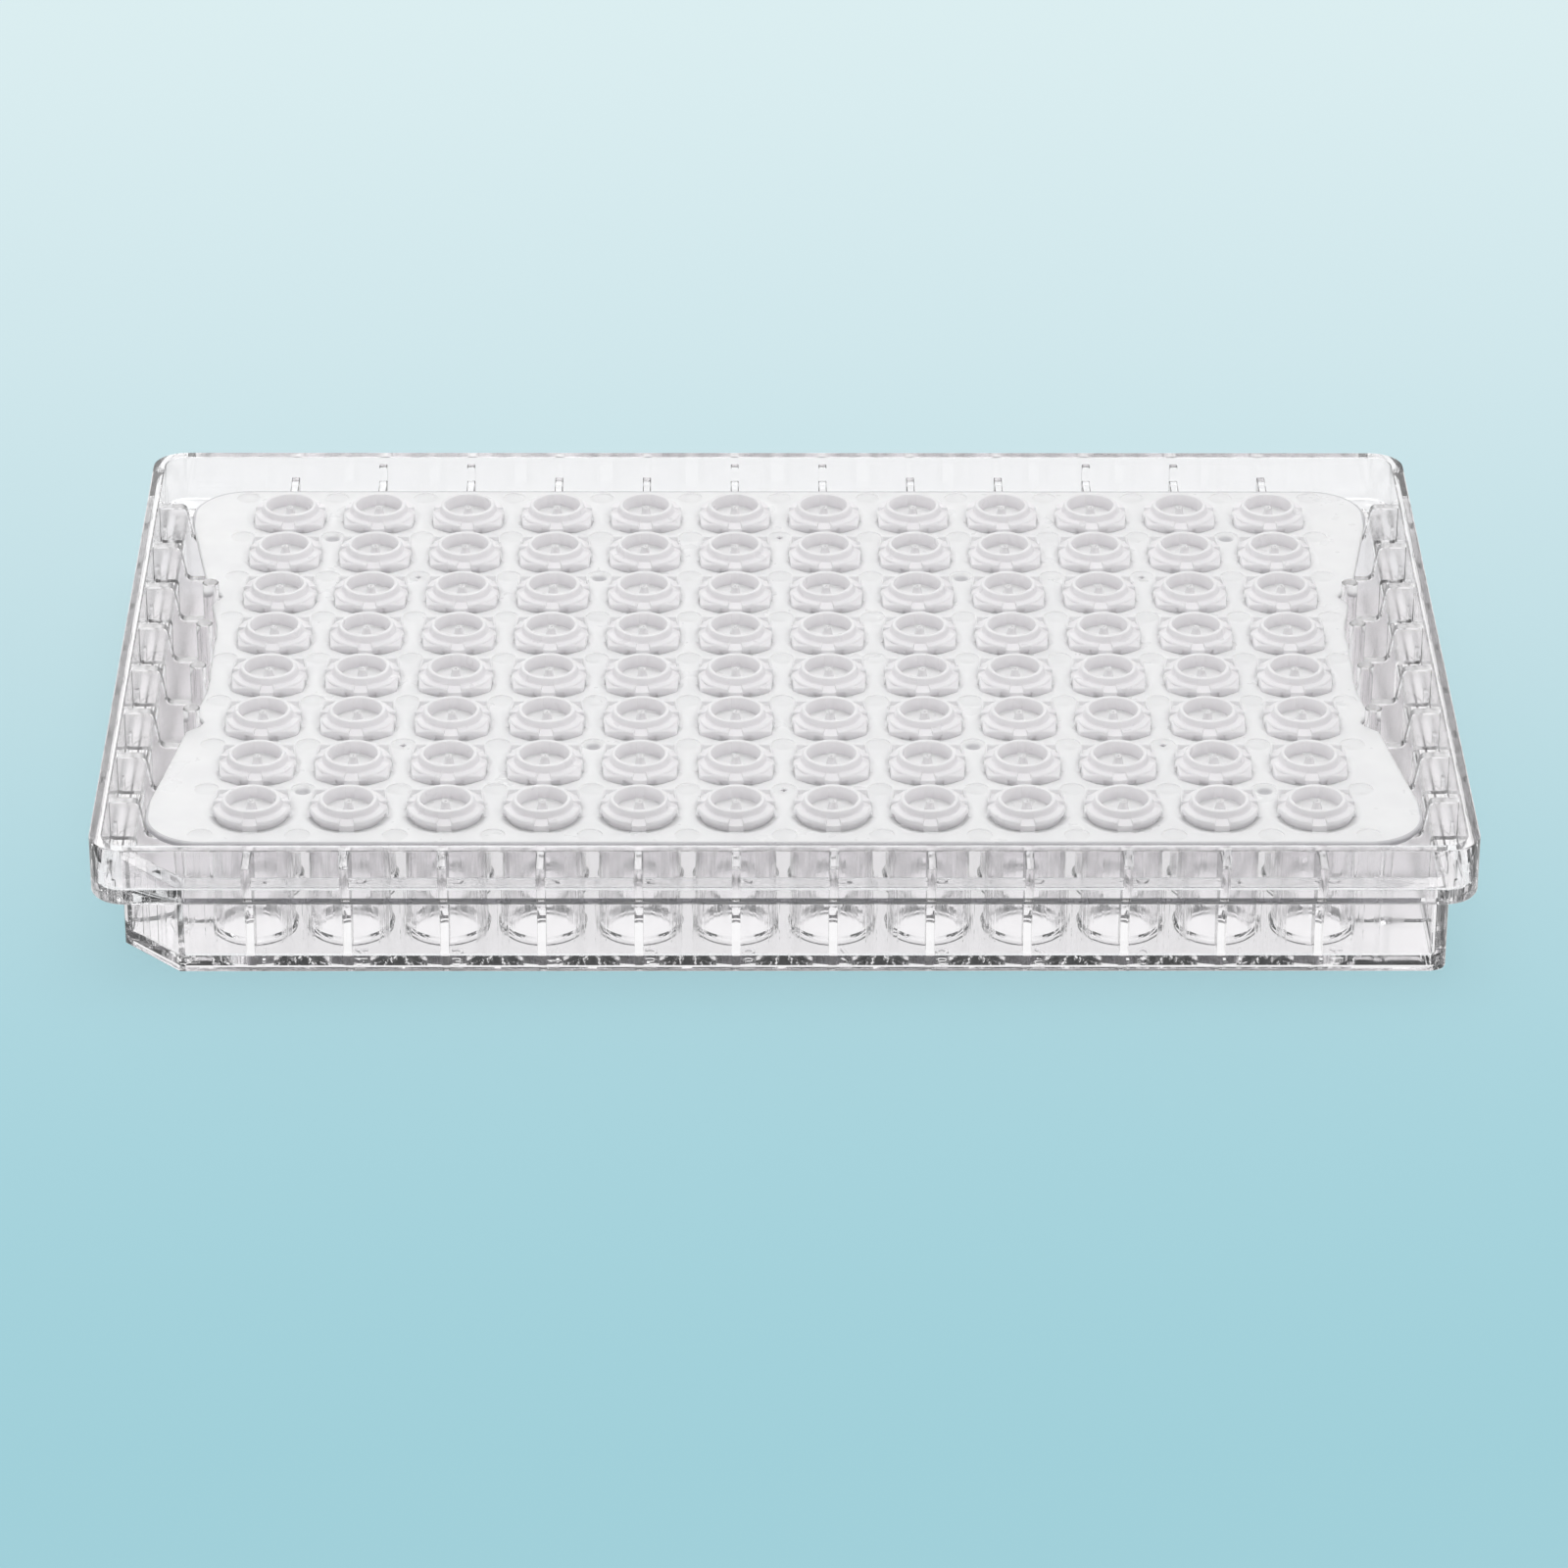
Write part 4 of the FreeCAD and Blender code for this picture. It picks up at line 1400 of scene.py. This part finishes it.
@dataclass
class Studio:
    """Pale floor, soft light and the camera.

    The floor's colours run along Y in metres. In the plastic's gloss and through it, floor and room look
    white near the plate, and dim to the room's share further off and to the front share on the near side.
    """

    lamps: tuple[Softbox, ...] = (Softbox("top_softbox", (0.05, 0.05, 0.75), 0.6, 2.9),
                                  Softbox("back_softbox", (-0.35, 0.75, 0.45), 0.7, 0.8))
    ground: tuple[tuple[float, str], ...] = (
        (-0.12, "#A0D0DA"), (-0.05, "#ABD6DF"), (0.02, "#C2E0E6"), (0.1, "#D0E7EC"), (0.21, "#DEF0F2"))
    floor_half: float = 6000.0
    floor_gap: float = 0.05
    floor_rough: float = 0.6
    floor_gloss: float = 0.1
    glowing: float = 0.8
    paler: float = 0.9
    table: Pair = (0.12, 0.36)
    table_front: Pair = (-0.085, -0.046)
    room_share: float = 0.06
    front_share: float = 0.32
    card_inset: Pair = (2.6, 3.2)
    card_soft: float = 0.6
    card_reach: float = 8.0
    room_white: str = "#FCFCFD"
    room_light: Pair = (0.42, 0.58)
    room_turn: Pair = (-0.9, 0.2)
    room_rise: Pair = (0.05, 0.42)
    room_front: Pair = (-0.75, -0.05)
    bounces: int = 16
    glossy_bounces: int = 8
    diffuse_bounces: int = 3
    azimuth: float = 0.599
    elevation: float = 28.02
    roll: float = 0.275
    lens: float = 152.86
    sensor: float = 36.0
    clip: Pair = (0.01, 20.0)
    eye: Point = (-5.75, -576.71, 305.46)

    def build(self) -> None:
        """Make the floor, the lights and the camera."""
        self.make_floor()
        self.make_world()
        for lamp in self.lamps:
            lamp.build()
        self.make_camera()
        scene = bpy.context.scene
        scene.view_settings.view_transform = "Standard"
        scene.cycles.max_bounces = self.bounces
        scene.cycles.transmission_bounces = self.bounces
        scene.cycles.glossy_bounces = self.glossy_bounces
        scene.cycles.diffuse_bounces = self.diffuse_bounces

    def make_floor(self) -> None:
        """Make the table just under the plate, paler towards the back and clear from below."""
        half, low = self.floor_half, -self.floor_gap
        corners = [(-half, -half, low), (half, -half, low), (half, half, low), (-half, half, low)]
        floor = Shape(corners, [(0, 1, 2, 3)]).object("floor")
        material, tree = new_material("lit_acrylic_table")
        place = whereabouts(tree)
        path = add_node(tree, "ShaderNodeLightPath").outputs
        bent = calculate(tree, "MAXIMUM", path["Is Glossy Ray"], path["Is Transmission Ray"])
        under = self.under_plate(tree, place, bent)
        pale = calculate(tree, "MAXIMUM", under, calculate(tree, "MULTIPLY", bent, self.paler))
        colour = blend(tree, pale, self.shades(tree, place), "#FFFFFF")
        table = remap(tree, length(tree, place), *self.table, 1.0, self.room_share)
        front = remap(tree, place["Y"], *self.table_front, self.front_share, 1.0)
        dimmer = calculate(tree, "MAXIMUM", calculate(tree, "MULTIPLY", table, front), path["Is Camera Ray"])
        seen = calculate(tree, "MULTIPLY", path["Is Camera Ray"], self.glowing)
        matt = add_node(tree, "ShaderNodeBsdfPrincipled", {
            "Base Color": colour, "Roughness": self.floor_rough, "Specular IOR Level": self.floor_gloss})
        glow = add_node(tree, "ShaderNodeEmission", {"Color": colour, "Strength": dimmer})
        above = layered(tree, calculate(tree, "MAXIMUM", seen, bent, under), matt, glow)
        shader = layered(tree, add_node(tree, "ShaderNodeNewGeometry").outputs["Backfacing"],
                         above, add_node(tree, "ShaderNodeBsdfTransparent"))
        add_node(tree, "ShaderNodeOutputMaterial", {"Surface": shader.outputs[0]})
        floor.data.materials.append(material)

    def shades(self, tree: Tree, place: dict[str, Socket]) -> Socket:
        """Return the floor's own colour.

        Args:
            tree: the floor material's tree.
            place: where on the floor, in metres.

        Returns:
            A smooth run through the ground's colours.
        """
        near, far = self.ground[0][0], self.ground[-1][0]
        share = remap(tree, place["Y"], near, far, 0.0, 1.0)
        ramp = add_node(tree, "ShaderNodeValToRGB", {"Fac": share})
        ramp.color_ramp.interpolation = "B_SPLINE"
        stops = ramp.color_ramp.elements
        for y, shade in self.ground[1:-1]:
            stops.new((y - near) / (far - near)).color = linear(shade)
        stops[0].color, stops[-1].color = linear(self.ground[0][1]), linear(self.ground[-1][1])
        return ramp.outputs["Color"]

    def under_plate(self, tree: Tree, place: dict[str, Socket], bent: Socket) -> Socket:
        """Return 1 under the plate's body and 0 beside it.

        Args:
            tree: the floor material's tree.
            place: where on the floor, in metres.
            bent: 1 for what is seen by reflection or through the plastic, which reaches further.

        Returns:
            The share of white.
        """
        low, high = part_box("plate_body")
        inset_x, inset_y = (value * MM for value in self.card_inset)
        soft = self.card_soft * MM
        across = calculate(tree, "SUBTRACT", calculate(tree, "ABSOLUTE", place["X"]),
                           calculate(tree, "MULTIPLY", bent, self.card_reach * MM))
        along = calculate(tree, "ABSOLUTE", place["Y"])
        sides = [remap(tree, away, edge - soft, edge, 1.0, 0.0)
                 for away, edge in ((across, high[0] - inset_x), (along, high[1] - inset_y))]
        slant = calculate(tree, "ADD", place["X"], place["Y"])
        corner = low[0] + low[1] + inset_x + inset_y + CORNER_CUT * MM
        return calculate(tree, "MULTIPLY", *sides, remap(tree, slant, corner, corner + soft, 0.0, 1.0))

    def make_world(self) -> None:
        """Light the room evenly, a little dimmer low down on the camera's side."""
        world = bpy.data.worlds.new("studio")
        bpy.context.scene.world = world
        world.use_nodes = True
        tree = world.node_tree
        tree.nodes.clear()
        ahead = whereabouts(tree, "Generated")
        room = add_node(tree, "ShaderNodeBackground", {
            "Color": linear(self.room_white),
            "Strength": remap(tree, ahead["Y"], *self.room_turn, *self.room_light)})
        high = remap(tree, ahead["Z"], *self.room_rise, self.room_share, 1.0)
        behind = remap(tree, ahead["Y"], *self.room_front, self.front_share, 1.0)
        card = add_node(tree, "ShaderNodeBackground", {
            "Color": linear("#FFFFFF"), "Strength": calculate(tree, "MULTIPLY", high, behind)})
        path = add_node(tree, "ShaderNodeLightPath").outputs
        kinds = ("Is Camera Ray", "Is Glossy Ray", "Is Transmission Ray")
        seen = calculate(tree, "MAXIMUM", *(path[kind] for kind in kinds))
        add_node(tree, "ShaderNodeOutputWorld", {"Surface": layered(tree, seen, room, card).outputs[0]})

    def make_camera(self) -> None:
        """Add the camera, a long lens looking down on the plate's front."""
        data = bpy.data.cameras.new("camera")
        data.lens, data.sensor_width = self.lens, self.sensor
        data.clip_start, data.clip_end = self.clip
        camera = bpy.data.objects.new("camera", data)
        azimuth, elevation, roll = (math.radians(v) for v in (self.azimuth, self.elevation, self.roll))
        ahead = Vector((math.sin(azimuth) * math.cos(elevation), math.cos(azimuth) * math.cos(elevation),
                        -math.sin(elevation)))
        right = ahead.cross(Vector((0, 0, 1))).normalized()
        tilted = right * math.cos(roll) + right.cross(ahead) * math.sin(roll)
        turn = Matrix((tilted, tilted.cross(ahead), -ahead)).transposed().to_4x4()
        camera.matrix_world = Matrix.Translation(Vector(self.eye) * MM) @ turn
        hang(camera)
        bpy.context.scene.camera = camera


def main() -> None:
    """Build every piece in order, then the studio."""
    logging.basicConfig(level=logging.INFO, format="%(message)s")
    grid = WellGrid.from_frame()
    log.info("grid: %d columns, %d rows, pitch %.3f mm", grid.columns, grid.rows, grid.pitch)
    FilterDiscs().build(FilterMembrane())
    DrainMat(grid).build(NaturalPolypropylene())
    PlateBody(grid).build(ClearPolystyrene())
    Studio().build()


if __name__ == "__main__":
    main()
